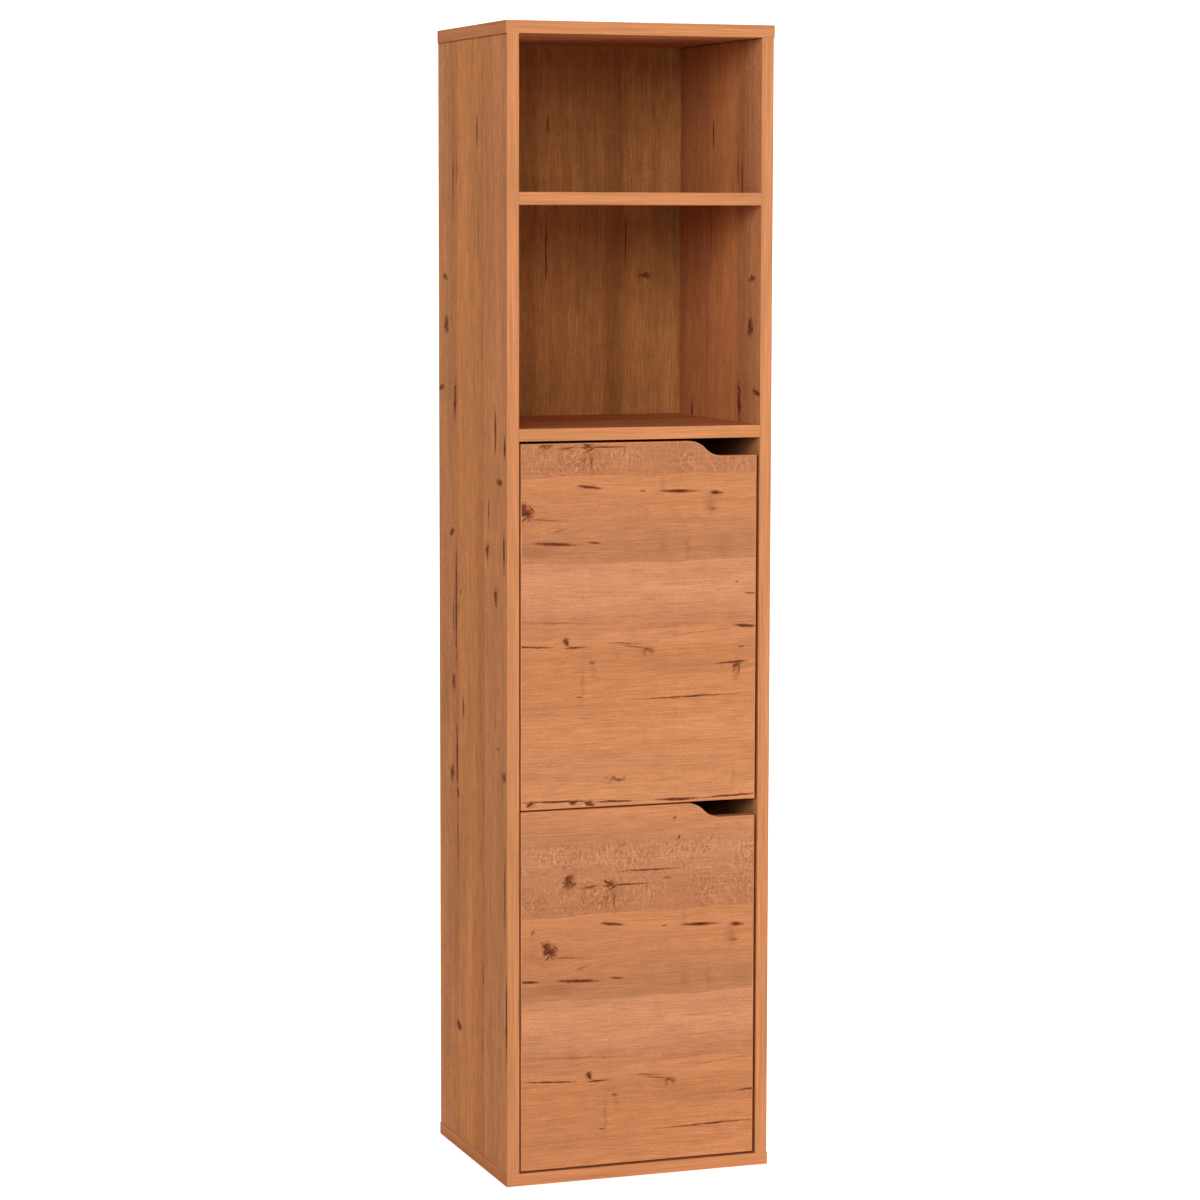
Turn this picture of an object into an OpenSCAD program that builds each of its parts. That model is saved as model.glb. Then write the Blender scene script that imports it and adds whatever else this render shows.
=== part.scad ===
// Bathroom storage tower: a tall narrow case of faced board with two open bays over
// two inset doors. Millimetres, +Z up, the doors face -Y. The origin is the middle of
// the underside. Inside a hinge, u runs from the left side's inner face into the case
// and w runs back from the front plane of the sides.

/* [Case] */
// Overall width, over the bands on the ends of the top and bottom panels
case_w = 340; // [300:1:450]
// Overall depth, from the front bands to the back of the back panel
case_d = 280; // [240:1:380]
// Overall height
case_h = 1400; // [1200:1:1800]
// Thickness of every board but the doors
board_t = 15; // [15:0.5:19]
// Thickness of the edge bands, on the boards and round the doors
band_t = 1; // [0.8:0.1:1.5]
// Rounding of the long corners of the case's front bands
band_r = 0.6; // [0.2:0.1:0.8]
// Thickness of the back panel
back_t = 3; // [2.5:0.1:6]
// How far the back panel's edges stay inside the outline of the case
back_inset = 2; // [0:0.5:5]

/* [Bays] */
// Clear height of the top open bay
top_bay_h = 185.5; // [150:0.5:260]
// Clear height of the open bay above the doors
open_bay_h = 265; // [200:0.5:320]

/* [Doors] */
// Thickness of the doors
door_t = 15; // [15:0.5:18]
// How far the doors stand behind the front edges of the case
door_recess = 1; // [0:0.1:3]
// Gap beside the hinges
hinge_gap = 2.4; // [2.2:0.1:3]
// Gap on the side of the finger pulls
pull_gap = 3.8; // [2:0.1:5]
// Gap over the upper door
top_gap = 3.3; // [1.5:0.1:5]
// Gap between the two doors
split_gap = 2.4; // [1.5:0.1:5]
// Gap under the lower door
bottom_gap = 2.9; // [1.5:0.1:5]

/* [Finger pulls] */
// Depth of the cut in the top edge of a door
pull_depth = 18.5; // [14:0.5:26]
// Level stretch of the cut, from the door's free edge
pull_flat = 45; // [30:1:80]
// Radius of both arcs of the cut's S-curve
pull_r = 29.6; // [20:0.1:40]

/* [Hinges] */
// Height from a door's end to the middle of its nearer hinge
hinge_inset = 80; // [60:1:120]
// Diameter of the hinge cup
cup_d = 35; // [35:0.5:38]
// Depth of the hinge cup in the door
cup_depth = 11.5; // [11:0.1:12]
// Board left between the cup's bore and the door's edge
cup_edge = 4.8; // [3:0.1:6]
// Wall and floor of the cup
cup_wall = 1; // [0.8:0.1:1.2]
// Thickness of the cup's flange
flange_t = 1.2; // [0.8:0.1:2]
// Distance between the two screws of a cup
cup_screw_span = 45; // [42:0.5:52]
// How far those screws lie beyond the cup's centre
cup_screw_offset = 9.5; // [5.5:0.5:9.5]
// Radius of the hinge pin
pin_r = 1.5; // [1.2:0.1:1.8]
// Radius of the arm's knuckle round the pin
knuckle_r = 2.7; // [2.5:0.1:3]
// Room between the knuckle and the cup's floor
knuckle_clear = 0.4; // [0.3:0.1:0.8]
// Width of the arm
arm_w = 12; // [10:0.5:14]
// Sheet thickness of the arm
arm_sheet = 1.4; // [1:0.1:1.8]
// Depth of the arm's folded channel
arm_channel = 4; // [3:0.1:5]
// Length of the arm behind its neck
arm_length = 52; // [50:1:60]
// Room that the turning door edge has at the side of the case
swing_clear = 0.4; // [0.3:0.05:0.6]
// Room between the turning door edge and the arm's neck
neck_clear = 0.8; // [0.5:0.1:1.5]
// Distance from the door's back to the screws of the mounting plate
plate_setback = 37; // [34:0.5:40]
// Distance between the two screws of a mounting plate
plate_screw_span = 32; // [28:0.5:36]
// Thickness of the plate's wings
plate_t = 2; // [1.5:0.1:3]
// Height of the plate's rail, on which the arm sits
rail_h = 5.5; // [4.5:0.1:7]

/* [Magnetic catches] */
// Height from a door's top edge down to the middle of its catch
catch_drop = 110; // [70:1:180]
// Overall length of the catch body
catch_len = 46; // [44:0.5:56]
// Length of the catch's raised block
catch_block_len = 26; // [22:0.5:30]
// How far the block stands out from the side
catch_out = 15; // [14:0.1:18]
// Depth of the catch body
catch_d = 15; // [13:0.5:20]
// Thickness of the body's two ears
ear_t = 3; // [2.5:0.1:4]
// Thickness of the strike plate
strike_t = 1.2; // [0.8:0.1:2]
// Height of the strike plate
strike_len = 34; // [28:0.5:40]
// Gap between the magnet and the strike plate with the door shut
catch_gap = 0.3; // [0.2:0.05:0.5]

/* [Fastenings] */
// Distance from a board's front or back edge to the nearer fastening
fix_inset = 45; // [35:1:60]
// Distance from a screw of the case to the dowel beside it
dowel_offset = 32; // [25:1:40]
// Diameter of the dowels
dowel_d = 8; // [6:0.5:8]
// Length of the dowels
dowel_len = 30; // [25:1:35]
// Depth of a dowel in the face of a board
dowel_in_face = 10; // [8:0.5:11]
// Diameter of the cam housings
cam_d = 15; // [12:0.5:15]
// Height of the cams
cam_h = 12; // [11:0.1:12.5]
// Distance from a shelf's end to the middle of a cam
cam_reach = 24; // [22:0.5:34]
// Length of a case screw
case_screw_len = 48; // [40:1:55]
// Head diameter of a case screw
case_head_d = 9.5; // [8:0.1:10]
// Core diameter of a case screw
case_core_d = 5; // [4:0.1:6]
// Thickness of the plugs over the top screws
plug_t = 1.5; // [1:0.1:2]
// Length of the nails in the back panel
nail_len = 22; // [16:1:28]
// Number of nails in the back edge of each side
side_nails = 8; // [4:1:12]

/* [Hidden] */
$fn = 64;

// Clearances
fit = 0.06;             // radial room of a fastener in its hole
running_fit = 0.05;     // radial room of the knuckle on its pin
hole_end = 0.5;         // room past the end of a fastener
through = 1;            // how far a cutting tool runs past a face

// The case
front_y = -case_d / 2;
rear_y = case_d / 2;
back_in_y = rear_y - back_t;
side_out = case_w / 2 - band_t;
side_in = side_out - board_t;
side_mid = side_out - board_t / 2;
top_z = case_h - board_t;
upper_shelf_z = top_z - top_bay_h - board_t;
lower_shelf_z = upper_shelf_z - open_bay_h - board_t;

// The doors
door_w = 2 * side_in - hinge_gap - pull_gap;
door_h = (lower_shelf_z - board_t - top_gap - split_gap - bottom_gap) / 2;
door_x = -side_in + hinge_gap;
door_y = front_y + door_recess;
door_back_y = door_y + door_t;
lower_door_z = board_t + bottom_gap;
upper_door_z = lower_door_z + door_h + split_gap;
middle_shelf_z = upper_door_z - split_gap / 2;

// The S-curve of a finger pull: two equal arcs that meet at pull_turn. Each circle runs
// arc_lap past what it touches, so that no sliver is left there.
arc_lap = 0.002;
pull_turn = acos(1 - pull_depth / (2 * pull_r));
pull_run = 2 * pull_r * sin(pull_turn);
pull_start = door_w - pull_flat - pull_run;

// The hinge: its pin stands far enough in for the door edge to turn past the side
cup_floor_w = door_recess + door_t - cup_depth;
cup_u = hinge_gap + cup_edge + cup_d / 2;
pivot_w = cup_floor_w + cup_wall + knuckle_clear + knuckle_r;
pivot_deep = pivot_w - door_recess;
pivot_u = (pivot_deep ^ 2 + hinge_gap ^ 2 - swing_clear ^ 2) / (2 * (hinge_gap - swing_clear));
front_reach = norm([pivot_u - hinge_gap, pivot_deep]);
back_reach = norm([pivot_u - hinge_gap, door_t - pivot_deep]);
sweep_r = max(front_reach, back_reach);
neck_in = sweep_r + neck_clear;
neck_out = neck_in + arm_channel;
knuckle_step = 0.3;     // how far the knuckle stands out of the leg
leg_low = knuckle_r - knuckle_step;
leg_high = 1.4;
lug_gap = 0.3;
lug_t = 3;
lug_over = 0.2;         // how far a lug is wider than the knuckle
lug_r = knuckle_r + lug_over;
flange_over = 1.2;      // how far the flange stands past the cup
flange_ear_r = 6.5;
plate_w = door_recess + door_t + plate_setback;
wing_r = 8;
arm_end_w = pivot_w + neck_out + arm_length;
rail_play = 0.2;        // room on both sides of the rail in the arm
rail_w = arm_w - 2 * arm_sheet - 2 * rail_play;
rail_start_gap = 1;     // from the neck to the rail
rail_start_w = pivot_w + neck_out + rail_start_gap;
rail_end_gap = 3;       // how far the arm runs past the rail
rail_end_w = arm_end_w - rail_end_gap;
seat_gap = 0.3;         // between the arm's cheeks and the plate
arm_seat_u = plate_t + seat_gap;
channel_u = rail_h + arm_sheet;
arm_screw_inset = 9;    // from either end of the arm's straight part
fixing_w = arm_end_w - arm_screw_inset;
adjust_w = pivot_w + neck_out + arm_screw_inset;

// The middle shelf stands behind the path of the door edges
shelf_clear = 1;
middle_shelf_y = front_y + pivot_w + sweep_r + shelf_clear;

// Hinge heights: the lower and the upper hinge of each door
upper_hinge_z = [upper_door_z + hinge_inset, upper_door_z + door_h - hinge_inset];
lower_hinge_z = [lower_door_z + hinge_inset, lower_door_z + door_h - hinge_inset];

// Catches on the right side
strike_w = 12;
strike_inset = 1;       // from the door's free edge
strike_x = side_in - pull_gap - strike_w / 2 - strike_inset;
catch_y = door_back_y + strike_t + catch_gap;
upper_catch_z = upper_door_z + door_h - catch_drop;
lower_catch_z = lower_door_z + door_h - catch_drop;
magnet_out = 8;
magnet_len = 20;
magnet_d = 9;
magnet_lip = 0.4;
pole_t = 1.2;
catch_screw_step = (catch_len + catch_block_len) / 4;

// Screws: head radius, head height, core radius, length (under the head if it is raised)
small_screw = [3.2, 1.8, 1.5, 11];
arm_screw = [3.6, 2.2, 2, 5];
strike_screw = [3, 1.5, 1.5, 11];
pan_crown = 0.7;        // width of a pan head's flat top, as a share of the head
pan_rim = 0.4;          // height of its upright rim, as a share of the head
recess_w = 0.9;
recess_len = 3.4;
recess_deep = 1.2;
socket_d = 4.6;
socket_deep = 2.4;
case_size = [case_head_d / 2, 3, case_core_d / 2, case_screw_len];
plug_d = case_head_d + 2;

// Cam bolts, measured from the side's inner face
bolt_thread_r = 2.5;
bolt_thread_len = 11;
bolt_shank_r = 3;
bolt_neck_r = 1.8;
bolt_head_r = 3;
bolt_head_len = 3.5;
bolt_tip = 1;           // bevel of the thread's tip and of the shank's end
bolt_head_bevel = 0.8;
bolt_hole_r = 3.6;
cam_slot_r = bolt_neck_r + 0.4;
cam_pocket_r = bolt_head_r + 0.3;

dowel_bevel = 1;

// Nails
nail_r = 0.75;
nail_head_r = 1.6;
nail_head_h = 0.8;
nail_tip = 2;
nail_end = 60;
nail_x = case_w / 5;

// Colours
decor = "#c98a5c";
band_colour = "#d6935f";
steel = "#c3c5c8";
dark_steel = "#8d9094";
plastic = "#8a5a3a";
beech = "#d8b98c";

// ---------------------------------------------------------------- fastenings

// Where the case screws and the dowels stand, front to back
function screw_ys() = [front_y + fix_inset, back_in_y - fix_inset];
function dowel_ys() = [front_y + fix_inset + dowel_offset, back_in_y - fix_inset - dowel_offset];

// The three shelves: underside and front edge
shelves = [
    [upper_shelf_z, front_y],
    [lower_shelf_z, front_y],
    [middle_shelf_z, middle_shelf_y]
];
function cam_ys(shelf) = [shelf[1] + fix_inset, back_in_y - fix_inset];
function shelf_mid_y(shelf) = (shelf[1] + back_in_y) / 2;

// Nails: along both sides, the two panels and the back edges of the shelves
function nail_step() = (case_h - 2 * nail_end) / (side_nails - 1);
function nail_places() = concat(
    [for (s = [-1, 1], i = [0 : side_nails - 1]) [s * side_mid, nail_end + i * nail_step()]],
    [for (s = [-1, 1], z = [board_t / 2, case_h - board_t / 2]) [s * nail_x, z]],
    [for (s = [-1, 1], shelf = shelves) [s * nail_x, shelf[0] + board_t / 2]]
);

module box(from, to) {
    translate(from) cube(to - from);
}

// A cross cut down from z = 0, as much larger than a screw's as grow says
module cross_recess(grow = 1) {
    length = recess_len * grow;
    width = recess_w * grow;
    for (a = [0, 90])
        rotate(a) translate([-length / 2, -width / 2, -recess_deep])
            cube([length, width, recess_deep + through]);
}

// A pan-head screw whose head sits on z = 0 and whose core points down
module pan_screw(size) {
    crown = [size[0] * pan_crown, size[1]];
    rim = [size[0], size[1] * pan_rim];
    difference() {
        rotate_extrude()
            polygon([[0, size[1]], crown, rim, [size[0], 0],
                     [size[2], 0], [size[2], size[2] - size[3]], [0, -size[3]]]);
        translate([0, 0, size[1]]) cross_recess();
    }
}

// The hole for it, which runs down from z = above
module pan_screw_hole(size, above = 1) {
    translate([0, 0, -size[3] - hole_end])
        cylinder(r = size[2] + fit, h = size[3] + hole_end + above, $fn = 32);
}

// A countersunk screw whose head is flush with z = 0 and whose core points down
module flat_screw(size) {
    rotate_extrude()
        polygon([[0, 0], [size[0], 0], [size[2], -size[1]],
                 [size[2], 2 * size[2] - size[3]], [0, -size[3]]]);
}

// The countersunk hole for it
module flat_screw_hole(size) {
    rotate_extrude()
        polygon([[0, through], [size[0] + fit, through], [size[0] + fit, 0],
                 [size[2] + fit, -size[1]], [size[2] + fit, -size[3] - hole_end], [0, -size[3] - hole_end]]);
}

// A case screw with its hexagon socket
module case_screw() {
    difference() {
        flat_screw(case_size);
        translate([0, 0, -socket_deep]) cylinder(d = socket_d, h = socket_deep + through, $fn = 6);
    }
}

// A strike screw with its cross recess
module strike_plate_screw() {
    difference() {
        flat_screw(strike_screw);
        cross_recess();
    }
}

// A dowel along Z with its middle at the origin
module dowel() {
    r = dowel_d / 2;
    bevel = dowel_bevel;
    rotate_extrude()
        polygon([[0, -dowel_len / 2], [r - bevel, -dowel_len / 2], [r, bevel - dowel_len / 2],
                 [r, dowel_len / 2 - bevel], [r - bevel, dowel_len / 2], [0, dowel_len / 2]]);
}

module dowel_hole() {
    cylinder(d = dowel_d + 2 * fit, h = dowel_len + 2 * hole_end, center = true);
}

// Places one child at every dowel between the sides and the top and bottom panels
module at_case_dowels() {
    for (s = [-1, 1], y = dowel_ys(), end = [0, 1])
        translate([s * side_mid, y,
                   end ? top_z + dowel_in_face - dowel_len / 2 : board_t - dowel_in_face + dowel_len / 2])
            children();
}

// Places one child at every dowel of the shelves, along X
module at_shelf_dowels() {
    for (s = [-1, 1], shelf = shelves)
        translate([s * (side_in + dowel_in_face - dowel_len / 2), shelf_mid_y(shelf), shelf[0] + board_t / 2])
            rotate([0, 90, 0]) children();
}

// Places one child at every case screw, head outwards
module at_top_screws() {
    for (s = [-1, 1], y = screw_ys())
        translate([s * side_mid, y, case_h - plug_t]) children();
}

module at_bottom_screws() {
    for (s = [-1, 1], y = screw_ys())
        translate([s * side_mid, y, 0]) rotate([180, 0, 0]) children();
}

// Places one child at every cam bolt of a shelf, its thread pointing out along local +Z
module at_cam_bolts(shelf) {
    for (s = [-1, 1], y = cam_ys(shelf))
        translate([s * side_in, y, shelf[0] + board_t / 2]) rotate([0, s * 90, 0]) children();
}

// A cam bolt: z = 0 is the side's inner face, the thread is above it
module cam_bolt() {
    head_end = cam_reach + bolt_head_len / 2;
    neck_end = cam_reach - cam_d / 2;
    tip = bolt_tip;
    bevel = bolt_head_bevel;
    rotate_extrude()
        polygon([[0, bolt_thread_len], [bolt_thread_r - tip, bolt_thread_len],
                 [bolt_thread_r, bolt_thread_len - tip],
                 [bolt_thread_r, 0], [bolt_shank_r, 0], [bolt_shank_r, tip - neck_end],
                 [bolt_neck_r, -neck_end], [bolt_neck_r, bolt_head_len - head_end],
                 [bolt_head_r, bolt_head_len - bevel - head_end], [bolt_head_r, bevel - head_end],
                 [bolt_head_r - bevel, -head_end], [0, -head_end]]);
}

// A cam in its housing: z = 0 is the shelf's underside, the bolt comes in from +X
module cam() {
    difference() {
        cylinder(d = cam_d - 2 * fit, h = cam_h);
        translate([-bolt_head_len, 0, board_t / 2])
            rotate([0, 90, 0]) cylinder(r = cam_pocket_r, h = 2 * bolt_head_len);
        translate([0, 0, board_t / 2]) rotate([0, 90, 0]) cylinder(r = cam_slot_r, h = cam_d);
        mirror([0, 0, 1]) cross_recess(2);
    }
}

module at_cams(shelf) {
    for (s = [-1, 1], y = cam_ys(shelf))
        translate([s * (side_in - cam_reach), y, shelf[0]]) rotate(s > 0 ? 0 : 180) children();
}

module nail() {
    translate([0, 0, -nail_head_h]) cylinder(r = nail_head_r, h = nail_head_h, $fn = 24);
    rotate_extrude($fn = 24)
        polygon([[0, -nail_head_h], [nail_r, -nail_head_h], [nail_r, nail_tip - nail_len],
                 [0, -nail_len]]);
}

module nail_hole() {
    translate([0, 0, -nail_head_h]) cylinder(r = nail_head_r + fit, h = nail_head_h + through, $fn = 24);
    translate([0, 0, -nail_len - hole_end]) cylinder(r = nail_r + fit, h = nail_len, $fn = 24);
}

module at_nails() {
    for (place = nail_places())
        translate([place[0], rear_y, place[1]]) rotate([-90, 0, 0]) children();
}

// ---------------------------------------------------------------- boards

// A straight front band: a strip of the given width along X and length along Z,
// with its front corners rounded, its front on y = 0
module band_strip(width, length) {
    linear_extrude(length)
        difference() {
            translate([-width / 2, 0]) square([width, band_t]);
            for (s = [-1, 1])
                translate([s * (width / 2 - band_r), band_r])
                    difference() {
                        translate([s > 0 ? 0 : -band_r - through, -band_r - through])
                            square([band_r + through, band_r + through]);
                        circle(r = band_r, $fn = 24);
                    }
        }
}

// A band that lies along X, its middle height at z
module level_band(length, z) {
    translate([-length / 2, front_y, z]) rotate([0, 90, 0]) band_strip(board_t, length);
}

// The top or bottom panel between its bands, its underside at z
module cap_board(z) {
    box([-side_out, front_y + band_t, z], [side_out, back_in_y, z + board_t]);
}

// The band round the front and both ends of such a panel
module cap_band(z) {
    difference() {
        box([-case_w / 2, front_y, z], [case_w / 2, back_in_y, z + board_t]);
        box([-side_out, front_y + band_t, z - through], [side_out, rear_y, z + board_t + through]);
    }
}

module side_board(s) {
    x = s > 0 ? side_in : -side_out;
    difference() {
        box([x, front_y + band_t, board_t], [x + board_t, back_in_y, top_z]);
        at_case_dowels() dowel_hole();
        at_shelf_dowels() dowel_hole();
        at_top_screws() flat_screw_hole(case_size);
        at_bottom_screws() flat_screw_hole(case_size);
        for (shelf = shelves)
            at_cam_bolts(shelf) bolt_hole();
        at_nails() nail_hole();
    }
}

module bolt_hole() {
    translate([0, 0, -through]) cylinder(r = bolt_thread_r + fit, h = bolt_thread_len + hole_end + through);
    translate([0, 0, -cam_reach]) cylinder(r = bolt_hole_r, h = cam_reach);
}

module shelf_board(shelf) {
    difference() {
        box([-side_in, shelf[1] + band_t, shelf[0]], [side_in, back_in_y, shelf[0] + board_t]);
        at_shelf_dowels() dowel_hole();
        at_cam_bolts(shelf) bolt_hole();
        at_cams(shelf)
            translate([0, 0, -through]) cylinder(d = cam_d, h = cam_h + hole_end + through);
        at_nails() nail_hole();
    }
}

module shelf_band(shelf) {
    translate([0, shelf[1] - front_y, 0]) level_band(2 * side_in, shelf[0] + board_t / 2);
}

// ---------------------------------------------------------------- doors

// The outline of a door in X and Z, with its finger pull, drawn in by inset
module door_face(inset) {
    arc_top = [pull_start, door_h - pull_r + arc_lap];
    arc_foot = [pull_start + pull_run, door_h - pull_depth + pull_r - arc_lap];
    turn_z = arc_top[1] + (pull_r - inset) * cos(pull_turn);
    difference() {
        translate([inset, inset]) square([door_w - 2 * inset, door_h - 2 * inset]);
        difference() {
            translate([pull_start, turn_z]) square([door_w, door_h]);
            translate(arc_top) circle(r = pull_r - inset, $fn = 128);
        }
        translate(arc_foot) circle(r = pull_r + inset, $fn = 128);
        translate([arc_foot[0], door_h - pull_depth - inset]) square([door_w, door_h]);
    }
}

// Extrudes a door outline through the door's thickness, its bottom left corner at z
module door_slab(z) {
    translate([door_x, door_back_y, z]) rotate([90, 0, 0]) linear_extrude(door_t) children();
}

module door_board(z, hinges) {
    difference() {
        door_slab(z) door_face(band_t);
        for (h = hinges)
            at_cup(h) cylinder(d = cup_d + 2 * fit, h = cup_depth + through);
        at_cup_screws(hinges) pan_screw_hole(small_screw);
        at_strike(z + door_h - catch_drop) flat_screw_hole(strike_screw);
    }
}

module door_band(z) {
    door_slab(z)
        difference() {
            door_face(0);
            door_face(band_t);
        }
}

// ---------------------------------------------------------------- hinges

// Hinge plan: X is u, Y is w, Z is up, at the height of the hinge
module at_hinge(z) {
    translate([-side_in, front_y, z]) children();
}

// The cup's own frame: local +Z runs back out of the cup, z = 0 is the floor
module at_cup(z) {
    at_hinge(z) translate([cup_u, cup_floor_w, 0]) rotate([-90, 0, 0]) children();
}

// Places one child on the flange at every cup screw, pointing into the door
module at_cup_screws(hinges) {
    for (h = hinges, s = [-1, 1])
        at_hinge(h)
            translate([cup_u + cup_screw_offset, door_recess + door_t + flange_t, s * cup_screw_span / 2])
                rotate([-90, 0, 0]) children();
}

// Places one child on the wings at every plate screw, pointing into the side
module at_plate_screws(hinges) {
    for (h = hinges, s = [-1, 1])
        at_hinge(h) translate([plate_t, plate_w, s * plate_screw_span / 2]) rotate([0, 90, 0]) children();
}

// Places one child on the arm at its fixing and its adjusting screw
module at_arm_screws(hinges) {
    for (h = hinges, w = [adjust_w, fixing_w])
        at_hinge(h) translate([channel_u, w, 0]) rotate([0, 90, 0]) children();
}

module cup_flange_outline() {
    circle(r = cup_d / 2 + flange_over);
    translate([cup_screw_offset - flange_ear_r, -cup_screw_span / 2])
        square([2 * flange_ear_r, cup_screw_span]);
    for (s = [-1, 1])
        translate([cup_screw_offset, s * cup_screw_span / 2]) circle(r = flange_ear_r);
}

// A lug: an upright ear in the cup that holds one end of the pin
module pin_lugs() {
    pin_h = pivot_w - cup_floor_w;
    for (s = [-1, 1])
        translate([pivot_u - cup_u, 0, 0])
            rotate([90, 0, 0])
                translate([0, 0, s * (arm_w / 2 + lug_gap + lug_t / 2)])
                    linear_extrude(lug_t, center = true) {
                        translate([0, pin_h]) circle(r = lug_r, $fn = 32);
                        translate([-lug_r, cup_wall / 2]) square([2 * lug_r, pin_h - cup_wall / 2]);
                    }
}

module hinge_cup(z) {
    difference() {
        at_cup(z) {
            difference() {
                union() {
                    cylinder(d = cup_d, h = cup_depth);
                    translate([0, 0, cup_depth]) linear_extrude(flange_t) cup_flange_outline();
                }
                translate([0, 0, cup_wall])
                    cylinder(d = cup_d - 2 * cup_wall, h = cup_depth + flange_t);
            }
            pin_lugs();
        }
        at_hinge(z) translate([pivot_u, pivot_w, 0])
            cylinder(r = pin_r + fit / 3, h = arm_w + 4 * lug_t, center = true, $fn = 32);
        at_cup_screws([z]) pan_screw_hole(small_screw);
    }
}

module hinge_pin(z) {
    at_hinge(z) translate([pivot_u, pivot_w, 0])
        cylinder(r = pin_r, h = arm_w + 2 * (lug_gap + lug_t), center = true, $fn = 32);
}

// The bend of the arm round the pin, from the leg in the cup to the bar behind the door
module neck(inner) {
    intersection() {
        translate([pivot_u, pivot_w]) circle(r = neck_out, $fn = 96);
        difference() {
            translate([pivot_u, pivot_w - leg_low]) square(neck_out + leg_low);
            translate([pivot_u, pivot_w]) circle(r = inner, $fn = 96);
        }
    }
}

// The cheeks of the folded arm, seen from above
module arm_cheek() {
    neck(neck_in);
    translate([pivot_u, pivot_w - leg_low]) square([neck_in + 1, leg_low + leg_high]);
    translate([arm_seat_u, pivot_w + neck_in]) square([pivot_u - arm_seat_u, arm_channel]);
    translate([arm_seat_u, pivot_w + neck_in])
        square([channel_u - arm_seat_u, arm_end_w - pivot_w - neck_in]);
    translate([pivot_u, pivot_w]) circle(r = knuckle_r, $fn = 32);
}

// The web of the folded arm, seen from above
module arm_web() {
    neck(neck_out - arm_sheet);
    translate([pivot_u, pivot_w - leg_low]) square([neck_in + 1, arm_sheet]);
    translate([rail_h, pivot_w + neck_out - arm_sheet]) square([pivot_u - rail_h, arm_sheet]);
    translate([rail_h, pivot_w + neck_out - arm_sheet])
        square([arm_sheet, arm_end_w - pivot_w - neck_out + arm_sheet]);
    translate([pivot_u, pivot_w]) circle(r = knuckle_r, $fn = 32);
}

module hinge_arm(z) {
    difference() {
        at_hinge(z) {
            linear_extrude(arm_w, center = true) arm_web();
            for (s = [-1, 1])
                translate([0, 0, s * (arm_w - arm_sheet) / 2])
                    linear_extrude(arm_sheet, center = true) arm_cheek();
        }
        at_hinge(z) translate([pivot_u, pivot_w, 0])
            cylinder(r = pin_r + running_fit, h = arm_w + 2 * through, center = true, $fn = 32);
        at_arm_screws([z]) pan_screw_hole(arm_screw);
    }
}

module hinge_plate(z) {
    difference() {
        at_hinge(z) {
            translate([0, plate_w, 0]) rotate([0, 90, 0]) linear_extrude(plate_t) {
                square([plate_screw_span, 2 * wing_r], center = true);
                for (s = [-1, 1])
                    translate([s * plate_screw_span / 2, 0]) circle(r = wing_r);
            }
            box([0, rail_start_w, -rail_w / 2], [rail_h, rail_end_w, rail_w / 2]);
        }
        at_plate_screws([z]) pan_screw_hole(small_screw);
        at_arm_screws([z]) pan_screw_hole(arm_screw);
    }
}

// ---------------------------------------------------------------- catches

// Places one child on a door's strike plate at height z, pointing into the door
module at_strike(z) {
    translate([strike_x, door_back_y + strike_t, z]) rotate([-90, 0, 0]) children();
}

// Places one child on each ear of a catch, pointing into the side
module at_ears(z) {
    for (s = [-1, 1])
        translate([side_in - ear_t, catch_y + catch_d / 2, z + s * catch_screw_step])
            rotate([0, -90, 0]) children();
}

module catch_body(z) {
    difference() {
        union() {
            box([side_in - ear_t, catch_y + magnet_lip, z - catch_len / 2],
                [side_in, catch_y + catch_d, z + catch_len / 2]);
            box([side_in - catch_out, catch_y + magnet_lip, z - catch_block_len / 2],
                [side_in, catch_y + catch_d, z + catch_block_len / 2]);
        }
        box([side_in - magnet_x_far() - fit, catch_y - through, z - magnet_len / 2 - fit],
            [side_in - magnet_x_near() + fit, catch_y + magnet_d + fit, z + magnet_len / 2 + fit]);
        at_ears(z) pan_screw_hole(small_screw);
    }
}

// The magnet lies in the middle of the block's depth over the strike
function magnet_x_near() = (catch_out + ear_t - magnet_out) / 2;
function magnet_x_far() = magnet_x_near() + magnet_out;

// A magnet between two steel pole plates, which stand a little out of it
module catch_magnet(z) {
    near = side_in - magnet_x_near();
    far = side_in - magnet_x_far();
    box([far, catch_y + magnet_lip, z - magnet_len / 2], [near, catch_y + magnet_d, z + magnet_len / 2]);
    box([far, catch_y, z - magnet_len / 2], [far + pole_t, catch_y + magnet_d, z + magnet_len / 2]);
    box([near - pole_t, catch_y, z - magnet_len / 2], [near, catch_y + magnet_d, z + magnet_len / 2]);
}

module catch_strike(z) {
    difference() {
        translate([strike_x, door_back_y + strike_t, z]) rotate([90, 0, 0]) linear_extrude(strike_t) {
            square([strike_w, strike_len - strike_w], center = true);
            for (s = [-1, 1])
                translate([0, s * (strike_len - strike_w) / 2]) circle(d = strike_w, $fn = 32);
        }
        at_strike(z) flat_screw_hole(strike_screw);
    }
}

// ---------------------------------------------------------------- sub-parts

module top_panel() {
    color(decor)
        difference() {
            cap_board(top_z);
            at_case_dowels() dowel_hole();
            at_top_screws() {
                flat_screw_hole(case_size);
                cylinder(d = plug_d + 2 * fit, h = plug_t + through);
            }
            at_nails() nail_hole();
        }
}

module bottom_panel() {
    color(decor)
        difference() {
            cap_board(0);
            at_case_dowels() dowel_hole();
            at_bottom_screws() flat_screw_hole(case_size);
            at_nails() nail_hole();
        }
}

module left_side() {
    color(decor)
        difference() {
            side_board(-1);
            at_plate_screws(concat(upper_hinge_z, lower_hinge_z)) pan_screw_hole(small_screw);
        }
}

module right_side() {
    color(decor)
        difference() {
            side_board(1);
            for (z = [upper_catch_z, lower_catch_z])
                at_ears(z) pan_screw_hole(small_screw);
        }
}

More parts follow.
